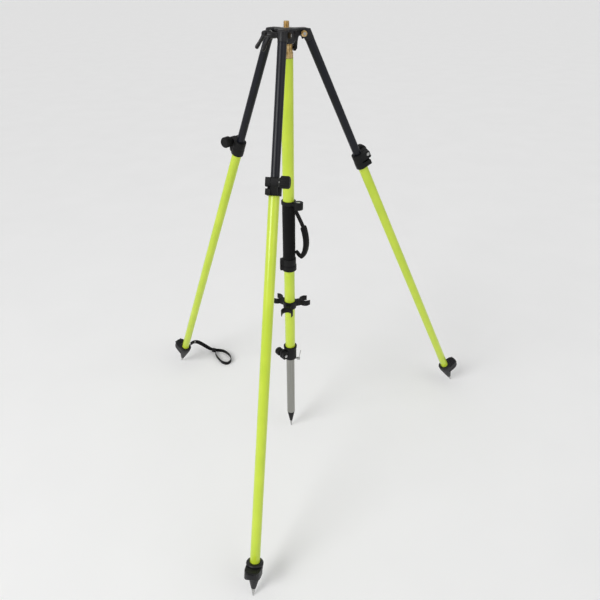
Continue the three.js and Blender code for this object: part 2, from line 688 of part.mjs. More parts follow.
tripod.add(
  piece("head_hub", headHub(), blackCasting()),
  piece("lock_collar", lockCollar(), brass()),
  piece("lock_screw", lockScrew(), blackPlastic()),
  piece("staff_spindle", spindle(), anodised()),
  piece("instrument_stud", instrumentStud(), brass()),
  piece("staff_tube", staffTube(), neonPaint()),
  piece("staff_grip", staffGrip(), foam()),
  piece("vial_bracket", vialBracket(), blackPlastic()),
  piece("vial_can", vialCan(), blackPaint()),
  piece("vial_glass", vialGlass(), glass()),
  piece("grip_low_collar", lowCollar(), blackPlastic()),
  piece("hand_strap", handStrap(), webbing()),
  piece("hand_strap_pad", handStrapPad(), foam()),
  piece("leg_clip", legClip(), blackPlastic()),
  piece("staff_clamp", staffClamp(), blackPlastic()),
  piece("staff_clamp_bolt", staffClampBolt(), steel()),
  piece("staff_clamp_knob", staffClampKnob(), blackPlastic()),
  piece("staff_lower_tube", staffLowerTube(), anodised()),
  piece("staff_cone", staffCone(), blackPlastic()),
  piece("staff_point", groundPoint(5.5, 30, 3, 18), steel()),
  piece("staff_guide_bush", staffGuideBush(), nylon()),
  piece("snap_pin", snapPin(), steel()),
  piece("snap_pin_ring", snapRing(), steel()),
  piece("foot_strap", footStrap(), webbing()),
);

for (const { side, azimuth, footRadius, lever, reversed } of LEGS) {
  const { tilt, length } = stanceOf(footRadius);
  const arm = new THREE.Group(); // upright frame of the hinge, +X outward
  arm.rotation.z = THREE.MathUtils.degToRad(azimuth);
  const hinge = new THREE.Group();
  hinge.position.set(HINGE_RADIUS, 0, HINGE_HEIGHT);
  const hardware = new THREE.Group();
  hardware.rotation.z = reversed ? Math.PI : 0;
  hardware.add(
    piece(`hinge_bolt_${side}`, hingeBolt(), steel()),
    piece(`hinge_nut_${side}`, hingeNut(), brass()),
    piece(`hinge_lever_${side}`, hingeLever(reversed ? -lever : lever), blackPlastic()),
  );
  hinge.add(hardware);
  const leg = new THREE.Group(); // tilted frame of the leg, -Z down the tube
  leg.rotation.y = -tilt;
  const upperTube = legTube(UPPER_OD, UPPER_OD - 2 * WALL, 24.4, UPPER_TUBE_END);
  leg.add(
    piece(`leg_knuckle_${side}`, legKnuckle(tilt), blackCasting()),
    piece(`upper_tube_${side}`, upperTube, blackPaint()),
    piece(`guide_bush_${side}`, guideBush(), nylon()),
  );
  const lowerLeg = new THREE.Group(); // slid along the upper tube until its tip is on the ground
  lowerLeg.position.z = LEG_LENGTH - length;
  const lowerTube = legTube(LOWER_OD, LOWER_ID, LOWER_TUBE_TOP, LEG_LENGTH - 76);
  const clampAt = [LEG_OFFSET + CLAMP_BOLT_X, 0, -CLAMP_BOLT_S];
  const point = groundPoint(7.4, LEG_POINT_TOP, 5, 18).translate([LEG_OFFSET, 0, -LEG_LENGTH]);
  lowerLeg.add(
    piece(`lower_tube_${side}`, lowerTube, neonPaint()),
    piece(`leg_collar_${side}`, legCollar(), blackPlastic()),
    piece(`clamp_bolt_${side}`, clampBolt(-19, -14.5, 36).translate(clampAt), steel()),
    piece(`clamp_knob_${side}`, clampKnob(16, 21, 47, 17, 36).translate(clampAt), blackPlastic()),
    piece(`foot_shoe_${side}`, footShoe(), blackCasting()),
    piece(`foot_point_${side}`, point, steel()),
  );
  leg.add(lowerLeg);
  hinge.add(leg);
  arm.add(hinge);
  tripod.add(arm);
}

export default tripod;
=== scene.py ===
import json
from math import copysign, cos, exp, pi, radians, sin, tau

import bmesh
import bpy
from mathutils import Matrix, Vector, noise


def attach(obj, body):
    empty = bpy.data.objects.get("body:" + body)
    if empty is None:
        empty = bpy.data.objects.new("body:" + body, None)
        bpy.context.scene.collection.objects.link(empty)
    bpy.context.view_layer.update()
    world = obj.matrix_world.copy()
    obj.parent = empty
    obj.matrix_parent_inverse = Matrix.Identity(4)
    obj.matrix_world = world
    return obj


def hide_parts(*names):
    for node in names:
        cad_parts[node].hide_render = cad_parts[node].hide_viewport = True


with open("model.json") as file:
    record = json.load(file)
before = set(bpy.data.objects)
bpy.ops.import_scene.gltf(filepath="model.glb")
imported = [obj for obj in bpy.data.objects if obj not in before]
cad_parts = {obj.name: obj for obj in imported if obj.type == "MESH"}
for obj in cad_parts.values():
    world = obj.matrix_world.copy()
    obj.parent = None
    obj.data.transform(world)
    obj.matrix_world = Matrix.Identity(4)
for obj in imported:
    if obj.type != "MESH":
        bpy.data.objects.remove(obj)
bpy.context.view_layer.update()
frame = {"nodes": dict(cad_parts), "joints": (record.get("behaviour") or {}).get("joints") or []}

MM = 0.001
SIDES = ("front", "right", "left")
JOINTS = {joint["name"]: joint for joint in frame["joints"]}

# ---- driving dimensions, mm
SEAT_HEIGHT = 1500
STUD_TOP = 1516
STUD_RADIUS = 7.94
STUD_PITCH = 2.31
SPINDLE_RADIUS = 11
PLATE_TOP = 1498
PLATE_UNDERSIDE = 1493
BOSS_BOTTOM = 1461
LOCK_COLLAR_BOTTOM = 1424.5
LOCK_SCREW_HEIGHT = 1451
LOCK_SCREW_DIRECTION = 20
HINGE_RADIUS = 46
HINGE_HEIGHT = 1484.5
BARREL_RADIUS = 8.2
BARREL_HALF = 7
ARM_HALF_WIDTH = 15
ARM_END = 58
CHEEK_OUTER = 12.6
LEG_OFFSET = 13.5
UPPER_OD = 25
UPPER_TUBE_END = 950
LOWER_OD = 31
LOWER_ID = 26.6
CLAMP_BOLT_X = 27
SPLIT_Y = -6
STAFF_OD = 37
STAFF_ID = 31.8
INNER_OD = 31
INNER_ID = 26
STAFF_TUBE_BOTTOM = 410
STAFF_CLAMP_BOTTOM = 366
STAFF_CLAMP_TOP = 422
STAFF_CLAMP_EARS = -132
STAFF_BOLT_X = 32
STAFF_BOLT_Z = 392.5
PIN_HEIGHT = 362
RING_EYE_X = 33
INNER_TUBE_BOTTOM = 84
INNER_TUBE_TOP = 1010
GRIP_BOTTOM = 797
GRIP_TOP = 992
GRIP_OD = 43
LOW_COLLAR_BOTTOM = 752
CLIP_BOTTOM = 596
CLIP_TOP = 624
VIAL_RADIUS = 36
VIAL_BOTTOM = 986
VIAL_TOP = 1004
VIAL_WINDOW = 6.5
SIDE_FITTINGS = -20
POINT_FLAT = 1.5
FIT = 0.3  # room between a moulding's bore and the tube in it
HUB_BORE = SPINDLE_RADIUS + 0.5
HINGE_HOLE = 4.3
CLAMP_BOLT_HOLE = 3.4
AZIMUTHS = {"front": -90, "right": 30, "left": 150}
LEVER_ANGLES = {"front": -30, "right": 0, "left": 28}
REVERSED_BOLTS = ("front",)

# Middle line of the hand strap: distance from the staff's axis, height.
STRAP_LINE = [
    (24.5, 976), (33, 961), (45, 940), (57, 915), (64, 885), (65, 860), (60, 834), (49, 815),
    (40, 816), (31, 825), (24.5, 828),
]

# Route of the foot strap, in metres: from the left shoe to the ground, and round its end loop.
FOOT_STRAP_ROUTE = [
    (-0.549, 0.351, 0.104), (-0.541, 0.373, 0.100), (-0.529, 0.392, 0.088),
    (-0.515, 0.411, 0.063), (-0.502, 0.428, 0.037), (-0.488, 0.439, 0.017),
    (-0.472, 0.441, 0.0102), (-0.451, 0.440, 0.0096), (-0.426, 0.440, 0.0096),
    (-0.398, 0.428, 0.0096), (-0.371, 0.401, 0.0096), (-0.361, 0.370, 0.0096),
    (-0.371, 0.348, 0.0096), (-0.396, 0.350, 0.0096), (-0.422, 0.373, 0.0096),
    (-0.444, 0.400, 0.0096), (-0.457, 0.429, 0.0096),
]

# ---- camera
CAMERA_PLACE = (0.2738, -1.5769, 1.6362)
CAMERA_YAW = -8.527  # degrees from +Y towards +X
CAMERA_PITCH = 32.286  # degrees below the horizon
CAMERA_LENS = 31.54  # mm, on a 36 mm sensor


def added(name, data):
    made = bpy.data.objects.new(name, data)
    bpy.context.scene.collection.objects.link(made)
    return made


def add_camera():
    data = bpy.data.cameras.new("camera")
    data.sensor_width = 36
    data.lens = CAMERA_LENS
    data.clip_end = 150
    camera = added("camera", data)
    yaw = Matrix.Rotation(radians(-CAMERA_YAW), 4, "Z")
    pitch = Matrix.Rotation(radians(90 - CAMERA_PITCH), 4, "X")
    camera.matrix_world = Matrix.Translation(CAMERA_PLACE) @ yaw @ pitch
    bpy.context.scene.camera = camera


add_camera()


# ---- material kit
class Recipe:
    """A node material being built: short calls for the nodes that the finishes share."""

    def __init__(self, name, roughness, metallic=0.0):
        self.material = bpy.data.materials.new(name)
        self.material.use_nodes = True
        self.tree = self.material.node_tree
        self.shader = self.tree.nodes["Principled BSDF"]
        self.set(Roughness=roughness, Metallic=metallic)
        self.place = self.tree.nodes.new("ShaderNodeTexCoord").outputs["Object"]

    def link(self, source, target):
        self.tree.links.new(source, target)

    def set(self, node=None, **values):
        """Fills in a node's inputs, or the shader's; an underscore stands for a space."""
        for name, value in values.items():
            (node or self.shader).inputs[name.replace("_", " ")].default_value = value

    def node(self, kind, **values):
        made = self.tree.nodes.new("ShaderNode" + kind)
        self.set(made, **values)
        return made

    def texture(self, kind, source=None, **values):
        made = self.node(kind, **values)
        self.link(source or self.place, made.inputs["Vector"])
        return made

    def stretched(self, x, y, z):
        return self.texture("Mapping", Scale=(x, y, z)).outputs["Vector"]

    def noise(self, scale, detail, source=None, roughness=0.5):
        node = self.texture("TexNoise", source, Scale=scale, Detail=detail, Roughness=roughness)
        return node.outputs["Fac"]

    def cells(self, scale):
        return self.texture("TexVoronoi", Scale=scale).outputs["Distance"]

    def wave(self, scale, direction, distortion=0.0, source=None):
        node = self.texture("TexWave", source, Scale=scale, Distortion=distortion)
        node.bands_direction = direction
        return node.outputs["Fac"]

    def product(self, first, second):
        node = self.node("Math")
        node.operation = "MULTIPLY"
        self.link(first, node.inputs[0])
        self.link(second, node.inputs[1])
        return node.outputs[0]

    def ramp(self, source, *stops):
        node = self.node("ValToRGB")
        points = node.color_ramp.elements
        while len(points) < len(stops):
            points.new(0.5)
        for point, (position, colour) in zip(points, stops):
            point.position = position
            point.color = (*colour, 1)
        self.link(source, node.inputs["Fac"])
        return node.outputs["Color"]

    def mottle(self, source, dark, light):
        return self.ramp(source, (0.3, dark), (0.7, light))

    def span(self, source, low, high):
        node = self.node("MapRange", To_Min=low, To_Max=high)
        self.link(source, node.inputs["Value"])
        return node.outputs["Result"]

    def blend(self, factor, first, second):
        node = self.node("Mix")
        node.data_type = "RGBA"
        self.link(factor, node.inputs["Factor"])
        for socket, value in ((node.inputs["A"], first), (node.inputs["B"], second)):
            if isinstance(value, tuple):
                socket.default_value = (*value, 1)
            else:
                self.link(value, socket)
        return node.outputs["Result"]

    def edges(self, radius_mm):
        """1 along outer edges, where handling wears a finish, and 0 on flat and round faces."""
        flattest, sharpest = 0.004, 0.05
        bevel = self.node("Bevel", Radius=radius_mm * MM)
        bevel.samples = 6
        shape = self.node("NewGeometry")
        dot = self.node("VectorMath")
        dot.operation = "DOT_PRODUCT"
        self.link(bevel.outputs["Normal"], dot.inputs[0])
        self.link(shape.outputs["Normal"], dot.inputs[1])
        node = self.node("MapRange", From_Min=1 - flattest, From_Max=1 - sharpest)
        self.link(dot.outputs["Value"], node.inputs["Value"])
        return node.outputs["Result"]

    def patchy_edges(self, radius_mm, scale, low, high):
        return self.product(self.edges(radius_mm), self.span(self.noise(scale, 4), low, high))

    def colour(self, source):
        self.link(source, self.shader.inputs["Base Color"])

    def rough(self, source, low, high):
        self.link(self.span(source, low, high), self.shader.inputs["Roughness"])

    def bump(self, height, depth_mm, strength):
        node = self.node("Bump", Strength=strength, Distance=depth_mm * MM)
        self.link(height, node.inputs["Height"])
        previous = self.shader.inputs["Normal"].links
        if previous:
            self.link(previous[0].from_socket, node.inputs["Normal"])
        self.link(node.outputs["Normal"], self.shader.inputs["Normal"])


# ---- finishes
# The first colour is painted shade for the hollows of pores and weave.
HOLLOW_SHADE_BLACK = (0.0015, 0.0015, 0.0015)
DEEP_BLACK = (0.003, 0.003, 0.0035)
SOFT_BLACK = (0.006, 0.006, 0.0065)
DUSTY_BLACK = (0.009, 0.009, 0.010)


def neon_paint():
    """Gloss powder coat, fluorescent yellow-green, with orange peel and handling scuffs."""
    make = Recipe("neon_paint", 0.3)
    cloudy = make.noise(9, 4)
    body = make.mottle(cloudy, (0.50, 0.66, 0.030), (0.60, 0.74, 0.048))
    scuffs = make.noise(60, 6, make.stretched(1, 1, 0.08), 0.7)
    worn = make.ramp(scuffs, (0.64, (0, 0, 0)), (0.74, (0.35, 0.35, 0.35)))
    make.colour(make.blend(worn, body, (0.44, 0.50, 0.14)))
    make.rough(make.noise(40, 5), 0.24, 0.40)
    make.bump(make.noise(420, 2), 0.05, 0.35)
    make.set(Coat_Weight=0.35, Coat_Roughness=0.12)
    return make.material


def black_paint():
    """Satin blue-black enamel on the upper tubes, with fine draw marks along them."""
    make = Recipe("black_paint", 0.34)
    body = make.mottle(make.noise(12, 4), (0.003, 0.0035, 0.007), (0.006, 0.007, 0.013))
    rubbed = make.ramp(
        make.noise(90, 6, make.stretched(1, 1, 0.05), 0.7),
        (0.62, (0, 0, 0)), (0.74, (0.5, 0.5, 0.5)),
    )
    make.colour(make.blend(rubbed, body, (0.016, 0.018, 0.026)))
    make.rough(make.noise(55, 5), 0.27, 0.42)
    make.bump(make.noise(500, 3, make.stretched(1, 1, 0.1)), 0.03, 0.4)
    make.set(Specular_IOR_Level=0.3)
    return make.material


def black_casting():
    """Powder-coated aluminium casting, grainy, rubbed lighter on its edges."""
    make = Recipe("black_casting", 0.45)
    body = make.mottle(make.noise(30, 4), (0.003, 0.003, 0.004), (0.007, 0.007, 0.009))
    patchy = make.patchy_edges(0.9, 70, -0.4, 1.0)
    make.colour(make.blend(patchy, body, (0.045, 0.045, 0.048)))
    make.rough(make.noise(160, 4), 0.36, 0.58)
    make.bump(make.noise(900, 4), 0.10, 0.5)
    make.set(Specular_IOR_Level=0.4)
    return make.material


def black_plastic():
    """Glass-filled nylon moulding with a fine spark texture."""
    make = Recipe("black_plastic", 0.5)
    body = make.mottle(make.noise(40, 3), DEEP_BLACK, SOFT_BLACK)
    patchy = make.patchy_edges(0.7, 90, -0.5, 0.8)
    make.colour(make.blend(patchy, body, (0.028, 0.028, 0.029)))
    make.rough(make.noise(300, 4), 0.42, 0.60)
    make.bump(make.cells(1500), 0.05, 0.55)
    make.set(Specular_IOR_Level=0.22)
    return make.material


def lever_enamel():
    """Satin die-cast clamping lever, smoother than the mouldings."""
    make = Recipe("lever_enamel", 0.36)
    body = make.mottle(make.noise(40, 3), DEEP_BLACK, SOFT_BLACK)
    make.colour(make.blend(make.edges(0.8), body, (0.04, 0.04, 0.042)))
    make.rough(make.noise(220, 4), 0.28, 0.46)
    make.bump(make.noise(1200, 3), 0.04, 0.4)
    make.set(Specular_IOR_Level=0.38)
    return make.material


def foam():
    """Closed-cell foam: a fine skin of pores with a dusty bloom."""
    make = Recipe("foam", 0.9)
    pores = make.cells(900)
    dusty = make.blend(make.span(make.noise(45, 5), 0, 1), DEEP_BLACK, DUSTY_BLACK)
    # Pore centres get near black, which is painted shade in the pores; the dusty tone between them
    # is random.
    make.colour(make.blend(make.span(pores, 0, 0.6), HOLLOW_SHADE_BLACK, dusty))
    make.rough(make.noise(200, 4), 0.80, 0.97)
    make.bump(pores, 0.35, 0.8)
    make.bump(make.noise(70, 4), 0.6, 0.35)
    make.set(Sheen_Weight=0.06, Sheen_Roughness=0.5, Specular_IOR_Level=0.2)
    return make.material


def webbing():
    """Polyester webbing: its weave runs along and across the band, in the band's own UVs in mm."""
    make = Recipe("webbing", 0.85)
    band = make.node("UVMap")
    band.uv_map = "band"
    lengthwise = make.wave(0.42, "X", source=band.outputs["UV"])
    across = make.wave(0.30, "Y", source=band.outputs["UV"])
    weave = make.product(lengthwise, across)
    dusty = make.blend(make.span(make.noise(60, 4), 0, 1), DEEP_BLACK, DUSTY_BLACK)
    # The weave's low points get near black, which is painted shade between the yarns; the dusty
    # tone is random.
    make.colour(make.blend(make.span(weave, 0, 1), HOLLOW_SHADE_BLACK, dusty))
    make.rough(make.noise(300, 4), 0.75, 0.95)
    make.bump(weave, 0.35, 0.9)
    make.bump(make.noise(2500, 3), 0.06, 0.5)
    make.set(Sheen_Weight=0.08, Sheen_Roughness=0.4, Specular_IOR_Level=0.2)
    return make.material


def brass():
    """Turned brass: fine tool rings about the local Z axis, a little tarnish, bright edges."""
    make = Recipe("brass", 0.3, 1.0)
    tarnish = make.noise(110, 5)
    body = make.ramp(
        tarnish,
        (0.30, (0.34, 0.21, 0.07)), (0.55, (0.62, 0.42, 0.17)), (0.75, (0.78, 0.57, 0.28)),
    )
    make.colour(make.blend(make.edges(0.5), body, (0.92, 0.74, 0.42)))
    make.rough(tarnish, 0.42, 0.22)
    make.bump(make.wave(700, "Z", 0.6), 0.03, 0.5)
    make.set(Anisotropic=0.4)
    return make.material


def painted_shade_brass():
    """Brass painted almost black: painted shade for the nut on the sheltered side of the head."""
    make = Recipe("painted_shade_brass", 0.5, 0.8)
    tarnish = make.noise(90, 5)
    # Both ramp colours are near black, which is painted shade, with a random mottle between them.
    make.colour(make.ramp(tarnish, (0.35, (0.020, 0.015, 0.009)), (0.75, (0.060, 0.044, 0.022))))
    make.rough(tarnish, 0.42, 0.60)
    make.bump(make.wave(700, "Z", 0.6), 0.03, 0.5)
    return make.material


def steel():
    """Turned, zinc-plated steel with tool rings about the local Z axis."""
    make = Recipe("steel", 0.3, 1.0)
    cloudy = make.noise(130, 5)
    make.colour(make.mottle(cloudy, (0.36, 0.36, 0.355), (0.60, 0.60, 0.59)))
    make.rough(cloudy, 0.24, 0.42)
    make.bump(make.wave(650, "Z", 0.5), 0.03, 0.5)
    make.set(Anisotropic=0.4)
    return make.material


def anodised():
    """Satin anodised tube: fine draw lines along it and faint rub rings from the clamp."""
    make = Recipe("anodised", 0.36, 1.0)
    drawn = make.noise(260, 6, make.stretched(1, 1, 0.02), 0.6)
    body = make.mottle(drawn, (0.27, 0.27, 0.25), (0.37, 0.37, 0.345))
    rubbed = make.ramp(
        make.noise(70, 5, make.stretched(0.1, 0.1, 1), 0.7),
        (0.58, (0, 0, 0)), (0.72, (0.35, 0.35, 0.35)),
    )
    make.colour(make.blend(rubbed, body, (0.48, 0.48, 0.46)))
    make.rough(drawn, 0.30, 0.46)
    make.bump(drawn, 0.02, 0.5)
    return make.material


def nylon():
    """Natural nylon: cloudy, slightly yellow, with light turning marks."""
    make = Recipe("nylon", 0.55)
    make.colour(make.mottle(make.noise(60, 4), (0.60, 0.58, 0.50), (0.72, 0.70, 0.63)))
    make.rough(make.noise(200, 4), 0.45, 0.65)
    make.bump(make.wave(500, "Z", 0.5), 0.03, 0.5)
    return make.material


def vial_glass():
    """Clear vial lens: glass with faint polishing marks."""
    make = Recipe("vial_glass", 0.04)
    make.set(Base_Color=(0.93, 0.97, 0.90, 1), Transmission_Weight=0.92, IOR=1.49)
    make.rough(make.noise(300, 4), 0.02, 0.09)
    return make.material


def vial_liquid():
    """Pale green spirit over a white dial, with a slight swirl."""
    make = Recipe("vial_liquid", 0.15)
    make.colour(make.mottle(make.noise(150, 3), (0.62, 0.80, 0.28), (0.74, 0.88, 0.42)))
    make.bump(make.noise(200, 2), 0.02, 0.3)
    make.set(Coat_Weight=1.0, Coat_Roughness=0.03)
    return make.material


def pale_floor():
    """Matt studio floor: near white, very slightly uneven."""
    make = Recipe("studio_floor", 0.8)
    make.colour(make.mottle(make.noise(3, 3), (0.955, 0.955, 0.955), (0.975, 0.975, 0.975)))
    make.bump(make.noise(300, 3), 0.05, 0.2)
    return make.material


NEON = neon_paint()
ENAMEL = black_paint()
CASTING = black_casting()
PLASTIC = black_plastic()
LEVER = lever_enamel()
FOAM = foam()
WEBBING = webbing()
BRASS = brass()
PAINTED_SHADE_BRASS = painted_shade_brass()
STEEL = steel()
ANODISED = anodised()
NYLON = nylon()
LENS = vial_glass()
LIQUID = vial_liquid()

# ---- shape kit, millimetres
UPRIGHT = Matrix.Identity(4)
ALONG_X = Matrix.Rotation(radians(90), 4, "Y")  # turns a shape about Z into one about X
ALONG_Y = Matrix.Rotation(radians(-90), 4, "X")  # and into one about Y
SMOOTH_ANGLE = radians(38)


def at(x, y, z):
    """A translation given in mm."""
    return Matrix.Translation(Vector((x, y, z)) * MM)


def turn(degrees, axis):
    return Matrix.Rotation(radians(degrees), 4, axis)


def solid(bm):
    """A scene object from a bmesh that is drawn in mm."""
    bmesh.ops.recalc_face_normals(bm, faces=bm.faces)
    bmesh.ops.scale(bm, vec=(MM, MM, MM), verts=bm.verts)
    mesh = bpy.data.meshes.new("shape")
    bm.to_mesh(mesh)
    bm.free()
    return added("shape", mesh)


def ring_of(bm, radius, height, sides, wobble):
    if radius < 1e-6:
        return [bm.verts.new((0, 0, height))]
    angles = [tau * k / sides for k in range(sides)]
    reach = [radius + wobble(angle, radius, height) for angle in angles]
    return [
        bm.verts.new((r * cos(a), r * sin(a), height)) for r, a in zip(reach, angles)
    ]


def bridge(bm, rings):
    """Faces between each ring of points and the next."""
    for a, b in zip(rings, rings[1:]):
        for k in range(len(a)):
            n = (k + 1) % len(a)
            bm.faces.new([a[k], a[n], b[n], b[k]])


def lathe(profile, sides=72, wobble=lambda angle, radius, height: 0.0):
    """A closed surface turned about Z from (radius, height) points; wobble adds to the radius."""
    closed = profile[0] == profile[-1]
    bm = bmesh.new()
    rings = [ring_of(bm, r, z, sides, wobble) for r, z in (profile[:-1] if closed else profile)]
    if closed:
        rings.append(rings[0])
    for low, high in zip(rings, rings[1:]):
        for k in range(sides):
            corners = [low[k % len(low)], low[(k + 1) % len(low)]]
            corners += [high[(k + 1) % len(high)], high[k % len(high)]]
            unique = list(dict.fromkeys(corners))
            if len(unique) > 2:
                bm.faces.new(unique)
    return solid(bm)


def eased(corners, radius, steps=3):
    """A profile with its corners rounded off, as a tool or mould leaves them."""
    closed = corners[0] == corners[-1]
    points = [Vector(c) for c in corners]
    out = [] if closed else [tuple(points[0])]
    count = len(points) - 1 if closed else len(points)
    for i in range(0 if closed else 1, count if closed else count - 1):
        before = points[i - 1] if i else points[-2]
        here = points[i]
        after = points[i + 1]
        cut_in = min(radius, 0.45 * (before - here).length, 0.45 * (after - here).length)
        start = here + (before - here).normalized() * cut_in
        end = here + (after - here).normalized() * cut_in
        for step in range(steps + 1):
            t = step / steps
            out.append(tuple((1 - t) ** 2 * start + 2 * t * (1 - t) * here + t * t * end))
    out.append(out[0] if closed else tuple(points[-1]))
    return out


def turned(corners, ease=0.6, sides=72):
    return lathe(eased(corners, ease), sides)


def tube(outer, inner, low, high, ease=0.5, sides=96):
    corners = [(inner, low), (outer, low), (outer, high), (inner, high), (inner, low)]
    return turned(corners, ease, sides)


def bar(radius, low, high, direction=UPRIGHT, ease=0.5):
    """A round bar along Z, or along another axis by ALONG_X or ALONG_Y."""
    made = turned([(0, low), (radius, low), (radius, high), (0, high)], ease, 56)
    return moved(made, direction)


def drill(radius, low, high, direction=UPRIGHT, place=UPRIGHT):
    """A sharp-edged bar that cuts a hole."""
    return moved(bar(radius, low, high, direction, ease=0), place)


def slab(outline, low, high, direction=UPRIGHT):
    """An outline in the X-Y plane, given height along Z."""
    bm = bmesh.new()
    bottom = [bm.verts.new((x, y, low)) for x, y in outline]
    top = [bm.verts.new((x, y, high)) for x, y in outline]
    bm.faces.new(bottom)
    bm.faces.new(top)
    bridge(bm, [bottom, top])
    return moved(solid(bm), direction)


def side_slab(outline, low, high):
    """An outline in the X-Z plane, given width along Y."""
    return slab([(x, -z) for x, z in outline], low, high, ALONG_Y)


def far_rounded(x0, x1, y0, y1, corner):
    """A rectangle's outline, its two corners at x1 rounded."""
    points = [(x0, y0)]
    for centre, first in ((y0 + corner, -90), (y1 - corner, 0)):
        for step in range(5):
            angle = radians(first + 90 * step / 4)
            points.append((
                x1 - corner + corner * cos(angle), centre + corner * sin(angle),
            ))
    return [*points, (x0, y1)]


def block(x0, x1, y0, y1, z0, z1):
    return slab([(x0, y0), (x1, y0), (x1, y1), (x0, y1)], z0, z1)


def moved(made, matrix):
    made.data.transform(matrix)
    return made


def baked(made):
    """Applies the modifiers of a piece that is being shaped."""
    graph = bpy.context.evaluated_depsgraph_get()
    mesh = bpy.data.meshes.new_from_object(made.evaluated_get(graph))
    old = made.data
    made.modifiers.clear()
    made.data = mesh
    bpy.data.meshes.remove(old)
    return made


def combined(operation, made, tools):
    for tool in tools:
        step = made.modifiers.new("step", "BOOLEAN")
        step.operation = operation
        step.solver = "EXACT"
        step.object = tool
    baked(made)
    for tool in tools:
        mesh = tool.data
        bpy.data.objects.remove(tool)
        bpy.data.meshes.remove(mesh)
    return made


def join(made, *others):
    return combined("UNION", made, others)


def cut(made, *tools):
    return combined("DIFFERENCE", made, tools)


def common(made, tool):
    return combined("INTERSECT", made, [tool])


def softened(made, width, segments=2):
    """Small rounds on the sharp edges."""
    merge_points(made, 0.02)
    step = made.modifiers.new("rounds", "BEVEL")
    step.width = width * MM
    step.segments = segments
    step.limit_method = "ANGLE"
    step.angle_limit = radians(34)
    step.use_clamp_overlap = True
    return baked(made)


def melted(made, voxel, passes):
    """One moulded skin over joined shapes, with fillets where they meet."""
    skin = made.modifiers.new("skin", "REMESH")
    skin.mode = "VOXEL"
    skin.voxel_size = voxel * MM
    smooth = made.modifiers.new("fillets", "SMOOTH")
    smooth.factor = 0.5
    smooth.iterations = passes
    return baked(made)


def merge_points(made, distance):
    bm = bmesh.new()
    bm.from_mesh(made.data)
    bmesh.ops.remove_doubles(bm, verts=bm.verts, dist=distance * MM)
    bm.to_mesh(made.data)
    bm.free()


def placed(made, name, body, material, nodes=(), place=UPRIGHT):
    """Finishes a piece: its name, place, body, material, and the CAD nodes that it stands for."""
    made.name = name
    made.data.name = name
    made.data.validate()
    made.data.shade_smooth()
    made.data.set_sharp_from_angle(angle=SMOOTH_ANGLE)
    made.data.materials.clear()
    made.data.materials.append(material)
    made.matrix_world = place
    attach(made, body)
    if nodes:
        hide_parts(*nodes)
    return made


def threaded(radius, low, high, pitch, depth, sides=40):
    """A closed threaded rod about Z, its crest at radius, with a chamfered start at the top."""
    bm = bmesh.new()
    rows = max(8, round((high - low) / pitch * 8))
    rings = []
    for row in range(rows + 1):
        z = low + (high - low) * row / rows
        lead = min(1.0, (high - z) / pitch, (z - low) / pitch + 0.3)
        ring = []
        for k in range(sides):
            angle = tau * k / sides
            phase = (z / pitch - k / sides) % 1
            crest = 1 - abs(2 * phase - 1)
            r = radius - depth * (1 - min(1.0, 1.35 * crest) * lead)
            ring.append(bm.verts.new((r * cos(angle), r * sin(angle), z)))
        rings.append(ring)
    bridge(bm, rings)
    bm.faces.new(rings[0])
    bm.faces.new(rings[-1])
    return solid(bm)


def hexagon(across_corners):
    radius = across_corners / 2
    angles = [tau * k / 6 for k in range(6)]
    return [(radius * cos(angle), radius * sin(angle)) for angle in angles]


def hex_prism(across_corners, low, high, chamfer=0.8):
    """A hexagon about Z with its end corners turned off, as on a nut or bolt head."""
    prism = slab(hexagon(across_corners), low, high)
    flats = across_corners / 2 * cos(pi / 6)
    crown = lathe([
        (0, low - 0.1), (flats, low - 0.1), (across_corners / 2 + 0.3, low + chamfer + 0.3),
        (across_corners / 2 + 0.3, high - chamfer - 0.3), (flats, high + 0.1), (0, high + 0.1),
    ])
    return common(prism, crown)


# ---- frames of the leg pieces
def arm_frame(side):
    """Upright frame of a leg's hinge: X outward, Y along the hinge, Z up."""
    fold = JOINTS[f"leg_fold_{side}"]
    along = Vector(fold["axis"]).normalized()
    up = Vector((0, 0, 1))
    outward = along.cross(up)
    rotation = Matrix((outward, along, up)).transposed().to_4x4()
    return Matrix.Translation(fold["pos_m"]) @ rotation


def tilt_of(side):
    return radians(JOINTS[f"leg_fold_{side}"]["range_deg"][1])


def leg_frame(side):
    """The same, tilted so that -Z runs down the leg."""
    return arm_frame(side) @ Matrix.Rotation(-tilt_of(side), 4, "Y")


def clamp_frame(side):
    """On the leg tube's axis at the height of its clamp bolt, which is outboard along X."""
    on_bolt = leg_frame(side)
    on_bolt.translation = JOINTS[f"leg_clamp_turn_{side}"]["pos_m"]
    return on_bolt @ at(-CLAMP_BOLT_X, 0, 0)


def foot_frame(side):
    """On the leg tube's axis at its ground tip, +Z up the leg."""
    tilt = tilt_of(side)
    pivot = JOINTS[f"leg_fold_{side}"]["pos_m"][2] / MM
    length = (pivot + (LEG_OFFSET - POINT_FLAT) * sin(tilt)) / cos(tilt)
    return leg_frame(side) @ at(LEG_OFFSET, 0, -length)


# ---- straps
def curve_through(points, per_span):
    """Catmull-Rom line through the points."""
    ends = [2 * points[0] - points[1], *points, 2 * points[-1] - points[-2]]
    line = []
    for i in range(1, len(ends) - 2):
        p0, p1, p2, p3 = ends[i - 1:i + 3]
        for step in range(per_span):
            t = step / per_span
            line.append(0.5 * (
                2 * p1 + (p2 - p0) * t + (2 * p0 - 5 * p1 + 4 * p2 - p3) * t * t
                + (3 * p1 - p0 - 3 * p2 + p3) * t ** 3
            ))
    line.append(points[-1])
    return line


def band_section(width, thickness):
    """Outline of a woven band: flat faces and round selvedges."""
    half, edge = width / 2, thickness / 2
    points = []
    for sign in (1, -1):
        for step in range(5):
            angle = pi * (step / 4 - 0.5)
            reach = half - edge + edge * cos(angle)
            points.append((sign * reach, sign * edge * sin(angle)))
        for step in (1, 2, 3):
            share = 1 - 2 * step / 4
            points.append((sign * share * (half - edge), sign * edge))
    return points


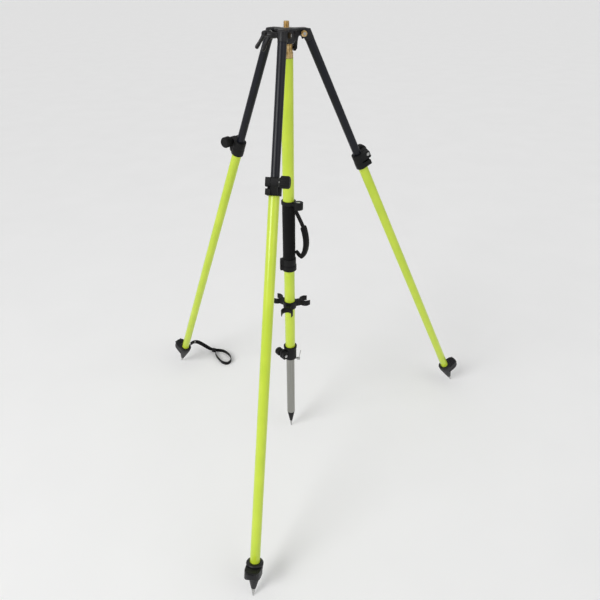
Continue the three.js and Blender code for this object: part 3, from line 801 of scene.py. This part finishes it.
def swept(line, width_way, section_at):
    """A closed band along a line; each section's X follows width_way, and UVs are in mm."""
    bm = bmesh.new()
    layer = bm.loops.layers.uv.new("band")
    rings = []
    along = 0.0
    stations = []
    for i, point in enumerate(line):
        tangent = (line[min(i + 1, len(line) - 1)] - line[max(i - 1, 0)]).normalized()
        wide = (width_way - width_way.dot(tangent) * tangent).normalized()
        thick = tangent.cross(wide)
        along += (point - line[i - 1]).length if i else 0
        stations.append(along)
        share = i / (len(line) - 1)
        rings.append([bm.verts.new(point + wide * x + thick * y) for x, y in section_at(share)])
    section = section_at(0.5)
    for i, (a, b) in enumerate(zip(rings, rings[1:])):
        for k in range(len(a)):
            n = (k + 1) % len(a)
            face = bm.faces.new([a[k], a[n], b[n], b[k]])
            across = (section[k][0], section[n][0], section[n][0], section[k][0])
            lengths = (stations[i], stations[i], stations[i + 1], stations[i + 1])
            for loop, u, v in zip(face.loops, lengths, across):
                loop[layer].uv = (u, v)
    bm.faces.new(rings[0])
    bm.faces.new(rings[-1])
    return solid(bm)


def foot_strap():
    """The tie strap on the left shoe, standing on its edge on the ground."""
    width, thickness = 18, 2.4
    line = curve_through([Vector(p) / MM for p in FOOT_STRAP_ROUTE], 6)
    section = band_section(width, thickness)
    strap = swept(line, Vector((0, 0, 1)), lambda share: section)
    placed(strap, "foot_strap_band", "foot_left", WEBBING, ["foot_strap"])
    stitches = strap_keeper(line)


def strap_keeper(line):
    """Sewn keeper that closes the end loop, and the rivet that holds the strap's tab."""
    crossing = next(p for p in line if p.x > -466)
    keeper = softened(block(-9, 9, -8.5, 3.2, -9.3, 9.3), 1.2, 3)
    place = at(crossing.x, crossing.y, 9.8) @ turn(-6, "Z")
    placed(keeper, "foot_strap_keeper", "foot_left", PLASTIC, place=place)
    tab_at = line[8]
    tangent = (line[9] - line[7]).normalized()
    facing = Vector((0, 0, 1)).cross(tangent).normalized()
    outline = [(0, -2.6), (3.4, -2.6), (4.2, -1.6), (4.2, 1.6), (3.4, 2.6), (0, 2.6)]
    rivet = turned(outline, 0.5, 32)
    stance = facing.to_track_quat("Z", "Y").to_matrix().to_4x4()
    placed(rivet, "foot_strap_rivet", "foot_left", STEEL, place=at(*tab_at) @ stance)
    return [keeper, rivet]


# ---- head
def hub_arm(azimuth):
    outline = far_rounded(0, ARM_END, -ARM_HALF_WIDTH, ARM_HALF_WIDTH, 4)
    plate = slab(outline, PLATE_UNDERSIDE, PLATE_TOP)
    barrel = bar(BARREL_RADIUS, -BARREL_HALF, BARREL_HALF, ALONG_Y)
    neck = block(38, 48, 0.3 - BARREL_HALF, BARREL_HALF - 0.3, HINGE_HEIGHT, PLATE_UNDERSIDE + 1)
    rib_outline = [
        (18, BOSS_BOTTOM + 3), (26, BOSS_BOTTOM + 5), (40, HINGE_HEIGHT),
        (40, PLATE_UNDERSIDE + 1), (18, PLATE_UNDERSIDE + 1),
    ]
    rib = side_slab(rib_outline, -5, 5)
    arm = join(plate, moved(barrel, at(HINGE_RADIUS, 0, HINGE_HEIGHT)), neck, rib)
    return moved(arm, turn(azimuth, "Z"))


def head_casting():
    boss = turned([
        (0, BOSS_BOTTOM), (20, BOSS_BOTTOM), (24, BOSS_BOTTOM + 6), (24, PLATE_UNDERSIDE),
        (33, PLATE_UNDERSIDE), (33, PLATE_TOP), (0, PLATE_TOP),
    ])
    body = join(boss, *[hub_arm(AZIMUTHS[side]) for side in SIDES])
    holes = [drill(HUB_BORE, BOSS_BOTTOM - 5, PLATE_TOP + 5)]
    for side in SIDES:
        hinge = turn(AZIMUTHS[side], "Z") @ at(HINGE_RADIUS, 0, HINGE_HEIGHT)
        holes.append(drill(HINGE_HOLE, -15, 15, ALONG_Y, hinge))
    body = softened(cut(body, *holes), 0.7)
    placed(body, "head_casting", "head", CASTING, ["head_hub"])


def brass_collar():
    """Split brass collar: a plain band above a wider skirt, with turned grooves."""
    low = LOCK_COLLAR_BOTTOM
    bore = HUB_BORE
    band = turned([
        (bore, low), (18, low), (18, low + 14), (17, low + 14.4), (17, BOSS_BOTTOM - 0.5),
        (bore, BOSS_BOTTOM - 0.5), (bore, low),
    ], 0.5, 96)
    split = moved(block(0, 25, -0.8, 0.8, low - 5, BOSS_BOTTOM + 5), turn(-50, "Z"))
    screw_place = turn(LOCK_SCREW_DIRECTION, "Z") @ at(0, 0, LOCK_SCREW_HEIGHT)
    tapping = drill(3.4, 5, 30, ALONG_X, screw_place)
    grooves = [tube(20, 16.3, low + z, low + z + 1, 0.2) for z in (18, 30)]
    grooves += [tube(20, 17.4, low + z, low + z + 0.8, 0.2) for z in (3, 6, 9)]
    body = cut(band, split, tapping, *grooves)
    placed(body, "brass_lock_collar", "head", BRASS, ["lock_collar"])


def thumb_screw():
    def knurl(angle, radius, height):
        return -0.35 * (1 + sin(32 * angle)) if radius > 8.8 else 0.0

    grip = [
        (0, 18.6), (8.4, 18.6), (9.5, 19.6), (9.5, 25), (8.4, 26), (5.8, 26), (5.2, 29), (0, 29),
    ]
    body = join(lathe(eased(grip, 0.4), 192, knurl), threaded(3, 11.8, 19.5, 1, 0.5, 24))
    place = turn(LOCK_SCREW_DIRECTION, "Z") @ at(0, 0, LOCK_SCREW_HEIGHT) @ ALONG_X
    placed(body, "thumb_screw", "lock_screw", PLASTIC, ["lock_screw"], place)


def spindle_and_stud():
    plug = STAFF_ID / 2 - 0.2
    low = LOCK_COLLAR_BOTTOM
    body = turned([
        (0, low - 45), (plug, low - 45), (plug, low - 0.3), (SPINDLE_RADIUS, low - 0.3),
        (SPINDLE_RADIUS, PLATE_TOP + 0.3), (16, PLATE_TOP + 0.3), (16, SEAT_HEIGHT),
        (9.2, SEAT_HEIGHT), (8.4, SEAT_HEIGHT - 0.8), (8.4, SEAT_HEIGHT - 20),
        (0, SEAT_HEIGHT - 20),
    ], 0.3)
    placed(body, "staff_spindle_turned", "staff", ANODISED, ["staff_spindle"])
    stud = threaded(STUD_RADIUS, SEAT_HEIGHT - 19.5, STUD_TOP, STUD_PITCH, 1.1, 56)
    placed(stud, "stud_threaded", "staff", BRASS, ["instrument_stud"])


# ---- hinge hardware
def clamping_lever(rest_angle):
    """Ratchet lever: a waisted hub along Y and a teardrop handle that leans away from it."""
    hub_low = CHEEK_OUTER + 2.0
    hub = turned([
        (0, hub_low), (6.5, hub_low), (6.5, 21), (7, 24), (8.5, 30), (8.5, 36), (7.5, 44), (0, 44),
    ], 1.2, 48)
    length, lean = 40, 22
    handle = turned([(0, -length - 5.4), (3, -length - 5), (5.4, -length - 2), (5.6, -length + 3),
                     (4.9, -length + 16), (6.4, 0), (0, 3)], 1.5, 40)
    handle = moved(handle, at(0, 37, 0) @ turn(lean, "X"))
    body = melted(join(moved(hub, ALONG_Y), handle), 0.8, 6)
    socket = drill(HINGE_HOLE, 0, 31, ALONG_Y)
    ring = tube(5.4, 4.6, 43.2, 46, 0.1)
    return moved(cut(body, socket, moved(ring, ALONG_Y)), turn(-rest_angle, "Y"))


def hinge_hardware(side):
    arm = arm_frame(side) @ turn(180 if side in REVERSED_BOLTS else 0, "Z")
    across = arm @ ALONG_Y
    bolt = join(threaded(4, -22, -12, 1.25, 0.55, 28), bar(3.9, -12.4, 30))
    placed(bolt, f"hinge_bolt_turned_{side}", "head", STEEL, [f"hinge_bolt_{side}"], across)
    nut_face = -CHEEK_OUTER
    flange = bar(8, nut_face - 1.6, nut_face - 0.3, ease=0.3)
    nut = cut(join(hex_prism(15.6, -20.5, nut_face - 1.4), flange), drill(4.25, -30, 0))
    # The reversed bolt's nut gets near-black brass as painted shade; the other nuts get plain
    # brass.
    finish = PAINTED_SHADE_BRASS if side in REVERSED_BOLTS else BRASS
    placed(nut, f"hinge_nut_brass_{side}", "head", finish, [f"hinge_nut_{side}"], across)
    washer = tube(7.6, HINGE_HOLE, CHEEK_OUTER + 0.5, CHEEK_OUTER + 1.8, 0.3, 48)
    placed(washer, f"hinge_washer_{side}", f"lever_{side}", STEEL, place=across)
    lever = clamping_lever(LEVER_ANGLES[side])
    placed(lever, f"hinge_lever_cast_{side}", f"lever_{side}", LEVER, [f"hinge_lever_{side}"], arm)


# ---- legs
def knuckle(tilt):
    inner = BARREL_HALF + 0.4
    on_tube = at(LEG_OFFSET, 0, 0)
    cap, plug = bar(12.9, -24, 26, ease=0.8), bar(10.3, -46, -22, ease=0.8)
    shapes = [moved(cap, on_tube), moved(plug, on_tube)]
    for low, high in ((inner, CHEEK_OUTER), (-CHEEK_OUTER, -inner)):
        shapes.append(bar(BARREL_RADIUS, low, high, ALONG_Y, ease=0.8))
        shapes.append(block(-3, LEG_OFFSET, low + 0.1, high - 0.1, -16, -2))
    to_hinge = Matrix.Rotation(tilt, 4, "Y") @ at(-HINGE_RADIUS, 0, -HINGE_HEIGHT)
    arm_room = moved(block(-20, ARM_END + 0.3, -20, 20, PLATE_UNDERSIDE - 0.3, 1600), to_hinge)
    above_plate = moved(block(-20, 120, -20, 20, PLATE_TOP - 2, 1600), to_hinge)
    barrel_room = drill(BARREL_RADIUS + 0.6, -inner, inner, ALONG_Y)
    tongue_room = block(-20, 6, -inner, inner, -14, 20)
    bolt_hole = drill(4.5, -20, 20, ALONG_Y)
    body = cut(join(*shapes), arm_room, above_plate, barrel_room, tongue_room, bolt_hole)
    return softened(body, 0.6)


def ear(x0, x1, y0, y1, z0, z1, corner=5):
    """A clamp ear: a block whose two outboard corners are rounded."""
    return side_slab(far_rounded(x0, x1, z0, z1, corner), y0, y1)


def clamp_collar():
    """Collar round the tubes, in the clamp's frame: its bolt is at height 0."""
    gusset = [(4, -12), (33, -12), (35, -9), (21.5, -34), (4, -34)]
    body = join(
        bar(20, -14, 13, ease=1.2), bar(20.5, -36, -13.5, ease=1.2),
        ear(6, 36, SPLIT_Y, 15.5, -13, 12), ear(2, 34, -20.5, SPLIT_Y, -13, 12),
        ear(2, 28, -20.5, SPLIT_Y, -35, -18, 3), side_slab(gusset, SPLIT_Y + 0.9, 13),
    )
    bolt_at = at(CLAMP_BOLT_X, 0, 0)
    pocket = moved(slab(hexagon(12.8), -30, -12.5, ALONG_Y), bolt_at)
    body = cut(
        body, drill(UPPER_OD / 2 + 0.4, -41, 20), drill(LOWER_OD / 2 + FIT, -41, -19.7),
        block(4, 60, SPLIT_Y - 0.8, SPLIT_Y + 0.8, -13.5, 18),
        block(0, 60, -40, SPLIT_Y, -18, -13.4),
        drill(CLAMP_BOLT_HOLE, -13, 30, ALONG_Y, bolt_at), pocket,
    )
    return softened(body, 0.6)


def clamp_bolt(head_low, head_high, shank_end):
    """About Z; its hexagon head is at the low end."""
    return join(
        hex_prism(12, head_low, head_high, 0.6), bar(2.9, head_high - 0.5, shank_end - 12),
        threaded(3, shank_end - 12.5, shank_end, 1, 0.5, 24),
    )


def hand_knob(neck, grip_low, grip_high, radius, shank_end):
    """Round moulded knob about Z: fluted grip, dished end with a cap, short neck."""
    def flutes(angle, r, height):
        return -0.9 * max(0.0, cos(18 * angle)) ** 2 if r > radius - 1.2 else 0.0

    profile = [
        (0, neck), (8, neck), (8, grip_low), (radius - 2, grip_low), (radius, grip_low + 2.5),
        (radius, grip_high - 4), (radius - 3, grip_high), (radius - 5.5, grip_high),
        (radius - 6.5, grip_high - 1.2), (6, grip_high - 1.2), (5.2, grip_high - 0.4),
        (0, grip_high - 0.4),
    ]
    body = lathe(eased(profile, 0.9), 180, flutes)
    return cut(body, drill(CLAMP_BOLT_HOLE, neck - 5, shank_end + 0.3))


def shoe():
    """Cast shoe in the foot's frame: a cup, a ribbed tread to step on, a cone to the point."""
    cup = turned([
        (0, 27), (7.8, 27), (17.5, 64), (25, 94), (27, 112), (24, 116), (0, 116),
    ], 1.5)
    centre, radius = 32, 24
    plan = [(0, -radius - 1)]
    for step in range(13):
        angle = radians(-90 + 15 * step)
        plan.append((centre + radius * cos(angle), radius * sin(angle)))
    plan.append((0, radius + 1))
    profile = [(0, 78), (22, 80), (50, 87), (56, 92), (55, 106), (47, 110), (0, 106)]
    tread = common(slab(plan, 66, 120), side_slab(profile, -30, 30))
    ribs = [block(x, x + 2.6, -17, 17, 104, 110.6 - 0.09 * abs(x - 42)) for x in (32, 38, 44, 50)]
    body = join(cup, tread, *ribs)
    body = cut(body, drill(LOWER_OD / 2 + FIT, 75, 130), drill(5.3, 20, 46))
    return softened(body, 0.9)


def ground_point(base, length, shank, shank_length):
    return turned([
        (0, 0), (POINT_FLAT, 0), (base, length - 0.3), (shank, length - 0.3),
        (shank, length + shank_length), (0, length + shank_length),
    ], 0.3, 48)


def leg(side):
    tubes = leg_frame(side) @ at(LEG_OFFSET, 0, 0)
    clamp = clamp_frame(side)
    bolt = clamp @ at(CLAMP_BOLT_X, 0, 0) @ ALONG_Y
    foot = foot_frame(side)
    clamp_height = (foot.inverted() @ clamp.translation).z / MM
    upper, lower = f"leg_{side}", f"foot_{side}"

    def fitted(made, name, body, material, node, place=UPRIGHT):
        placed(made, f"{name}_{side}", body, material, [f"{node}_{side}"], place)

    fitted(knuckle(tilt_of(side)), "knuckle_cast", upper, CASTING, "leg_knuckle", leg_frame(side))
    upper_tube = tube(UPPER_OD / 2, UPPER_OD / 2 - 2, -UPPER_TUBE_END, -24.4)
    fitted(upper_tube, "upper_tube_enamel", upper, ENAMEL, "upper_tube", tubes)
    lower_tube = tube(LOWER_OD / 2, LOWER_ID / 2, 76, clamp_height - 20)
    fitted(lower_tube, "lower_tube_neon", lower, NEON, "lower_tube", foot)
    fitted(clamp_collar(), "leg_collar_moulded", lower, PLASTIC, "leg_collar", clamp)
    steel = clamp_bolt(head_low=-19, head_high=-14.5, shank_end=36)
    fitted(steel, "clamp_bolt_steel", lower, STEEL, "clamp_bolt", bolt)
    knob = hand_knob(neck=19.5, grip_low=21, grip_high=47, radius=17, shank_end=36)
    fitted(knob, "clamp_knob_moulded", f"knob_{side}", PLASTIC, "clamp_knob", bolt)
    fitted(moved(shoe(), foot), "foot_shoe_cast", lower, CASTING, "foot_shoe")
    point = ground_point(base=7.4, length=27, shank=5, shank_length=18)
    fitted(moved(point, foot), "foot_point_steel", lower, STEEL, "foot_point")


# ---- staff
def staff_tubes():
    placed(tube(STAFF_OD / 2, STAFF_ID / 2, STAFF_TUBE_BOTTOM, LOCK_COLLAR_BOTTOM - 0.6),
           "staff_tube_neon", "staff", NEON, ["staff_tube"])
    inner = tube(INNER_OD / 2, INNER_ID / 2, INNER_TUBE_BOTTOM, INNER_TUBE_TOP)
    stops = (0, 300, 500)
    holes = [drill(3.6, -30, 30, ALONG_X, at(0, 0, PIN_HEIGHT + rise)) for rise in stops]
    placed(softened(cut(inner, *holes), 0.3), "staff_lower_tube_satin", "staff_lower", ANODISED,
           ["staff_lower_tube"])


def foam_grip():
    outer, inner = GRIP_OD / 2, STAFF_OD / 2 + 0.3
    low, high = GRIP_BOTTOM + 0.3, GRIP_TOP - 0.3
    corners = [(inner, low), (outer, low), (outer, high), (inner, high), (inner, low)]
    profile = eased(corners, 2.2, 5)
    rings = []
    for (r0, z0), (r1, z1) in zip(profile, profile[1:]):
        count = max(1, int(abs(z1 - z0) / 3))
        rings += [(r0 + (r1 - r0) * k / count, z0 + (z1 - z0) * k / count) for k in range(count)]
    rings.append(rings[0])

    def uneven(angle, radius, height):
        if radius < outer - 1:
            return 0.0
        spot = Vector((cos(angle) * 1.2, sin(angle) * 1.2, height / 26))
        return -0.22 + 0.22 * noise.noise(spot)

    placed(lathe(rings, 96, uneven), "foam_grip", "staff", FOAM, ["staff_grip"])


def side_fittings():
    """Vial bracket above the grip, its circular vial, and the collar under the grip."""
    facing = turn(SIDE_FITTINGS, "Z")
    at_vial = at(VIAL_RADIUS, 0, 0)
    bracket = join(
        bar(24, GRIP_TOP, GRIP_TOP + 12, ease=1.4), block(10, VIAL_RADIUS, -12, 12, 992, 1001),
        moved(bar(15.5, VIAL_BOTTOM - 5, VIAL_TOP, ease=1.2), at_vial),
    )
    bracket = cut(
        bracket, drill(STAFF_OD / 2 + FIT, 950, 1050), drill(GRIP_OD / 2 + 0.5, 950, GRIP_TOP),
        drill(12.3, VIAL_BOTTOM, VIAL_TOP + 5, place=at_vial),
    )
    placed(softened(bracket, 0.6), "vial_bracket_moulded", "staff", PLASTIC,
           ["vial_bracket"], facing)
    rim = VIAL_TOP + 1
    can = turned([
        (0, VIAL_BOTTOM + 0.3), (12, VIAL_BOTTOM + 0.3), (12, rim), (VIAL_WINDOW + 0.3, rim - 0.3),
        (VIAL_WINDOW + 0.3, VIAL_BOTTOM + 6), (0, VIAL_BOTTOM + 6),
    ], 0.4)
    placed(can, "vial_can_enamel", "staff", ENAMEL, ["vial_can"], facing @ at_vial)
    lens_top = VIAL_TOP + 0.6
    lens = turned([
        (0, lens_top - 3), (VIAL_WINDOW, lens_top - 3), (VIAL_WINDOW, lens_top - 0.9),
        (VIAL_WINDOW * 0.6, lens_top - 0.2), (0, lens_top),
    ], 0.5, 48)
    placed(lens, "vial_lens", "staff", LENS, ["vial_glass"], facing @ at_vial)
    liquid = turned([
        (0, VIAL_BOTTOM + 6.3), (VIAL_WINDOW, VIAL_BOTTOM + 6.3), (VIAL_WINDOW, lens_top - 3.2),
        (0, lens_top - 3.2),
    ], 0.3, 48)
    placed(liquid, "vial_liquid", "staff", LIQUID, place=facing @ at_vial)
    dial = tube(2.7, 2.4, lens_top - 3.25, lens_top - 3.1, 0.03, 48)
    placed(dial, "vial_dial_ring", "staff", ENAMEL, place=facing @ at_vial)
    low = LOW_COLLAR_BOTTOM
    to_lug = turn(190, "Z")
    lug = moved(ear(15, 32, -12, 12, low + 2, GRIP_BOTTOM - 6, 4), to_lug)
    neck = bar(23.5, low + 18.5, GRIP_BOTTOM - 0.3, ease=1.2)
    collar = join(bar(25, low, low + 19, ease=1.2), neck, lug)
    lug_hole = drill(3, -20, 20, ALONG_Y, to_lug @ at(27, 0, low + 20))
    collar = cut(collar, drill(STAFF_OD / 2 + FIT, low - 5, GRIP_BOTTOM + 5), lug_hole)
    placed(softened(collar, 0.7), "grip_collar_moulded", "staff", PLASTIC, ["grip_low_collar"])


def hand_strap():
    """Webbing band beside the grip, flat towards it, and the padded sleeve round its middle."""
    facing = turn(SIDE_FITTINGS, "Z")
    line = curve_through([Vector((x, 0, z)) for x, z in STRAP_LINE], 8)
    section = band_section(width=20, thickness=2.2)
    band = swept(line, Vector((0, 1, 0)), lambda share: section)
    placed(band, "hand_strap_webbing", "staff", WEBBING, ["hand_strap"], facing)
    sleeve_start, sleeve_end = 0.26, 0.72  # shares of the band's length
    covered = line[round(sleeve_start * len(line)):round(sleeve_end * len(line))]
    sides, half_width, half_thickness = 36, 13.2, 7.8

    def sleeve_section(share):
        end = sin(pi / 2 * min(1.0, min(share, 1 - share) / 0.05))
        plump = 0.62 + 0.38 * end
        points = []
        for k in range(sides):
            angle = tau * k / sides
            wide, thick = cos(angle), sin(angle)
            x = copysign(abs(wide) ** 0.75, wide) * (half_width + 0.9 * end)
            y = copysign(abs(thick) ** 0.8, thick) * half_thickness * plump
            seam = exp(-((abs(wide) - 0.93) / 0.05) ** 2)
            crease = noise.noise(Vector((share * 9, x * 0.12, 3.0 if y > 0 else 8.0)))
            points.append((x, y * (1 - 0.16 * seam) + 0.55 * crease * end * abs(thick)))
        return points

    smooth_line = []
    for a, b in zip(covered, covered[1:]):
        smooth_line += [a, (a + b) / 2]
    smooth_line.append(covered[-1])
    pad = swept(smooth_line, Vector((0, 1, 0)), sleeve_section)
    rounds = pad.modifiers.new("rounds", "SUBSURF")
    rounds.levels = rounds.render_levels = 1
    baked(pad)
    placed(pad, "hand_strap_sleeve", "staff", FOAM, ["hand_strap_pad"], facing)


def spring_clip():
    """Collar with three jaws that hold the folded legs."""
    folded = HINGE_RADIUS + LEG_OFFSET
    mouth, wall = LOWER_OD / 2 + 0.8, 5
    low, high = CLIP_BOTTOM + 3, CLIP_TOP - 5
    jaws = []
    for side in SIDES:
        outside = join(
            moved(bar(mouth + wall, low, high, ease=1), at(folded, 0, 0)),
            block(folded, folded + 3, -mouth - wall, mouth + wall, low + 0.2, high - 0.2),
            block(18, folded - 10, -9, 9, low + 0.2, high - 0.2),
        )
        inside = join(
            drill(mouth, low - 2, high + 2, place=at(folded, 0, 0)),
            block(folded, folded + 40, -mouth, mouth, low - 2, high + 2),
        )
        jaws.append(moved(cut(outside, inside), turn(AZIMUTHS[side], "Z")))
    body = join(bar(23.5, CLIP_BOTTOM, CLIP_TOP, ease=1.2), *jaws)
    body = cut(body, drill(STAFF_OD / 2 + FIT, CLIP_BOTTOM - 5, CLIP_TOP + 5))
    placed(softened(body, 0.7), "leg_clip_moulded", "staff", PLASTIC, ["leg_clip"])


def staff_clamp():
    facing = turn(STAFF_CLAMP_EARS, "Z")
    low, high = STAFF_CLAMP_BOTTOM, STAFF_CLAMP_TOP
    body = join(
        bar(23, low, high - 8, ease=1.2), bar(25, high - 9, high, ease=1.2),
        ear(12, 42, -12, 12, 377, 408),
    )
    body = cut(
        body, drill(INNER_OD / 2 + 0.4, low - 5, high),
        drill(STAFF_OD / 2 + FIT, STAFF_TUBE_BOTTOM - 0.3, high + 5),
        block(0, 60, -1.5, 1.5, low - 5, 409),
        drill(CLAMP_BOLT_HOLE, -30, 30, ALONG_Y, at(STAFF_BOLT_X, 0, STAFF_BOLT_Z)),
    )
    placed(softened(body, 0.7), "staff_clamp_moulded", "staff", PLASTIC, ["staff_clamp"], facing)
    bolt = facing @ at(STAFF_BOLT_X, 0, STAFF_BOLT_Z) @ turn(180, "Z") @ ALONG_Y
    steel = clamp_bolt(head_low=-16, head_high=-12.4, shank_end=32)
    placed(steel, "staff_clamp_bolt_steel", "staff", STEEL, ["staff_clamp_bolt"], bolt)
    knob = hand_knob(neck=12.5, grip_low=16, grip_high=38, radius=15, shank_end=32)
    placed(knob, "staff_clamp_knob_moulded", "staff_knob", PLASTIC, ["staff_clamp_knob"], bolt)


def staff_foot():
    plug, shoulder, top = INNER_ID / 2 - 0.2, INNER_TUBE_BOTTOM - 0.3, INNER_TUBE_BOTTOM + 25
    cone = turned([
        (0, 30), (5.5, 30), (15.3, shoulder), (plug, shoulder), (plug, top), (0, top),
    ], 0.8)
    cone = cut(cone, drill(3.3, 20, 50))
    placed(cone, "staff_cone_moulded", "staff_lower", PLASTIC, ["staff_cone"])
    point = ground_point(base=5.5, length=30, shank=3, shank_length=18)
    placed(point, "staff_point_steel", "staff_lower", STEEL, ["staff_point"])


def snap_pin():
    """Cross pin with a flattened head, and the wire pull ring in its eye."""
    shank = bar(3, -21, 27, ease=0.8)
    head = bar(5.5, 25.5, 37, ease=1.0)
    body = moved(join(shank, head), ALONG_X)
    eye = drill(1.9, -10, 10, ALONG_Y, at(RING_EYE_X, 0, 0))
    flats = [block(28.5, 45, 2.6, 10, -10, 10), block(28.5, 45, -10, -2.6, -10, 10)]
    body = softened(cut(body, eye, *flats), 0.3)
    placed(body, "snap_pin_steel", "snap_pin", STEEL, ["snap_pin"], at(0, 0, PIN_HEIGHT))
    ring_radius = 18
    ring = wire_ring(ring_radius, 1.2)
    place = at(RING_EYE_X, 0, PIN_HEIGHT) @ turn(-80, "Y") @ at(ring_radius, 0, 0)
    placed(ring, "snap_ring_wire", "snap_ring", STEEL, ["snap_pin_ring"], place)


def wire_ring(radius, wire):
    bm = bmesh.new()
    around, section = 72, 14
    rings = []
    for i in range(around):
        a = tau * i / around
        ring = []
        for k in range(section):
            b = tau * k / section
            r = radius + wire * cos(b)
            ring.append(bm.verts.new((r * cos(a), r * sin(a), wire * sin(b))))
        rings.append(ring)
    bridge(bm, rings + rings[:1])
    return solid(bm)


def hidden_bushes():
    for node in ["staff_guide_bush"] + [f"guide_bush_{side}" for side in SIDES]:
        bush = frame["nodes"][node]
        bush.data.materials.clear()
        bush.data.materials.append(NYLON)


# ---- studio
def studio():
    side, near, far = 40000, -12000, 60000
    floor = slab([(-side, near), (side, near), (side, far), (-side, far)], -6, -0.5)
    floor.name = "studio_floor"
    floor.data.materials.append(pale_floor())
    soft_light("key", "SUN", (-2.2, -2.4, 3.2), power=1.15, spread=0.6)
    soft_light("fill", "SUN", (2.6, -1.2, 2.6), power=0.45, spread=0.9)
    soft_light("strip", "AREA", (-1.6, -2.4, 2.6), power=16, spread=1.2)
    world = bpy.data.worlds.new("studio")
    bpy.context.scene.world = world
    world.use_nodes = True
    background = world.node_tree.nodes["Background"]
    background.inputs["Color"].default_value = (1, 1, 1, 1)
    background.inputs["Strength"].default_value = 0.5
    bpy.context.scene.view_settings.view_transform = "Standard"


def soft_light(name, kind, place, power, spread):
    """A lamp aimed at the tripod's middle; spread is a sun's angle or an area lamp's side."""
    data = bpy.data.lights.new(name, kind)
    data.energy = power
    if kind == "SUN":
        data.angle = spread
    else:
        data.size = spread
    lamp = added(name, data)
    lamp.location = place
    lamp.rotation_euler = (Vector((0, 0, 0.8)) - Vector(place)).to_track_quat("-Z", "Y").to_euler()


foot_strap()
head_casting()
brass_collar()
thumb_screw()
spindle_and_stud()
for side in SIDES:
    hinge_hardware(side)
    leg(side)
staff_tubes()
foam_grip()
side_fittings()
hand_strap()
spring_clip()
staff_clamp()
staff_foot()
snap_pin()
hidden_bushes()
studio()
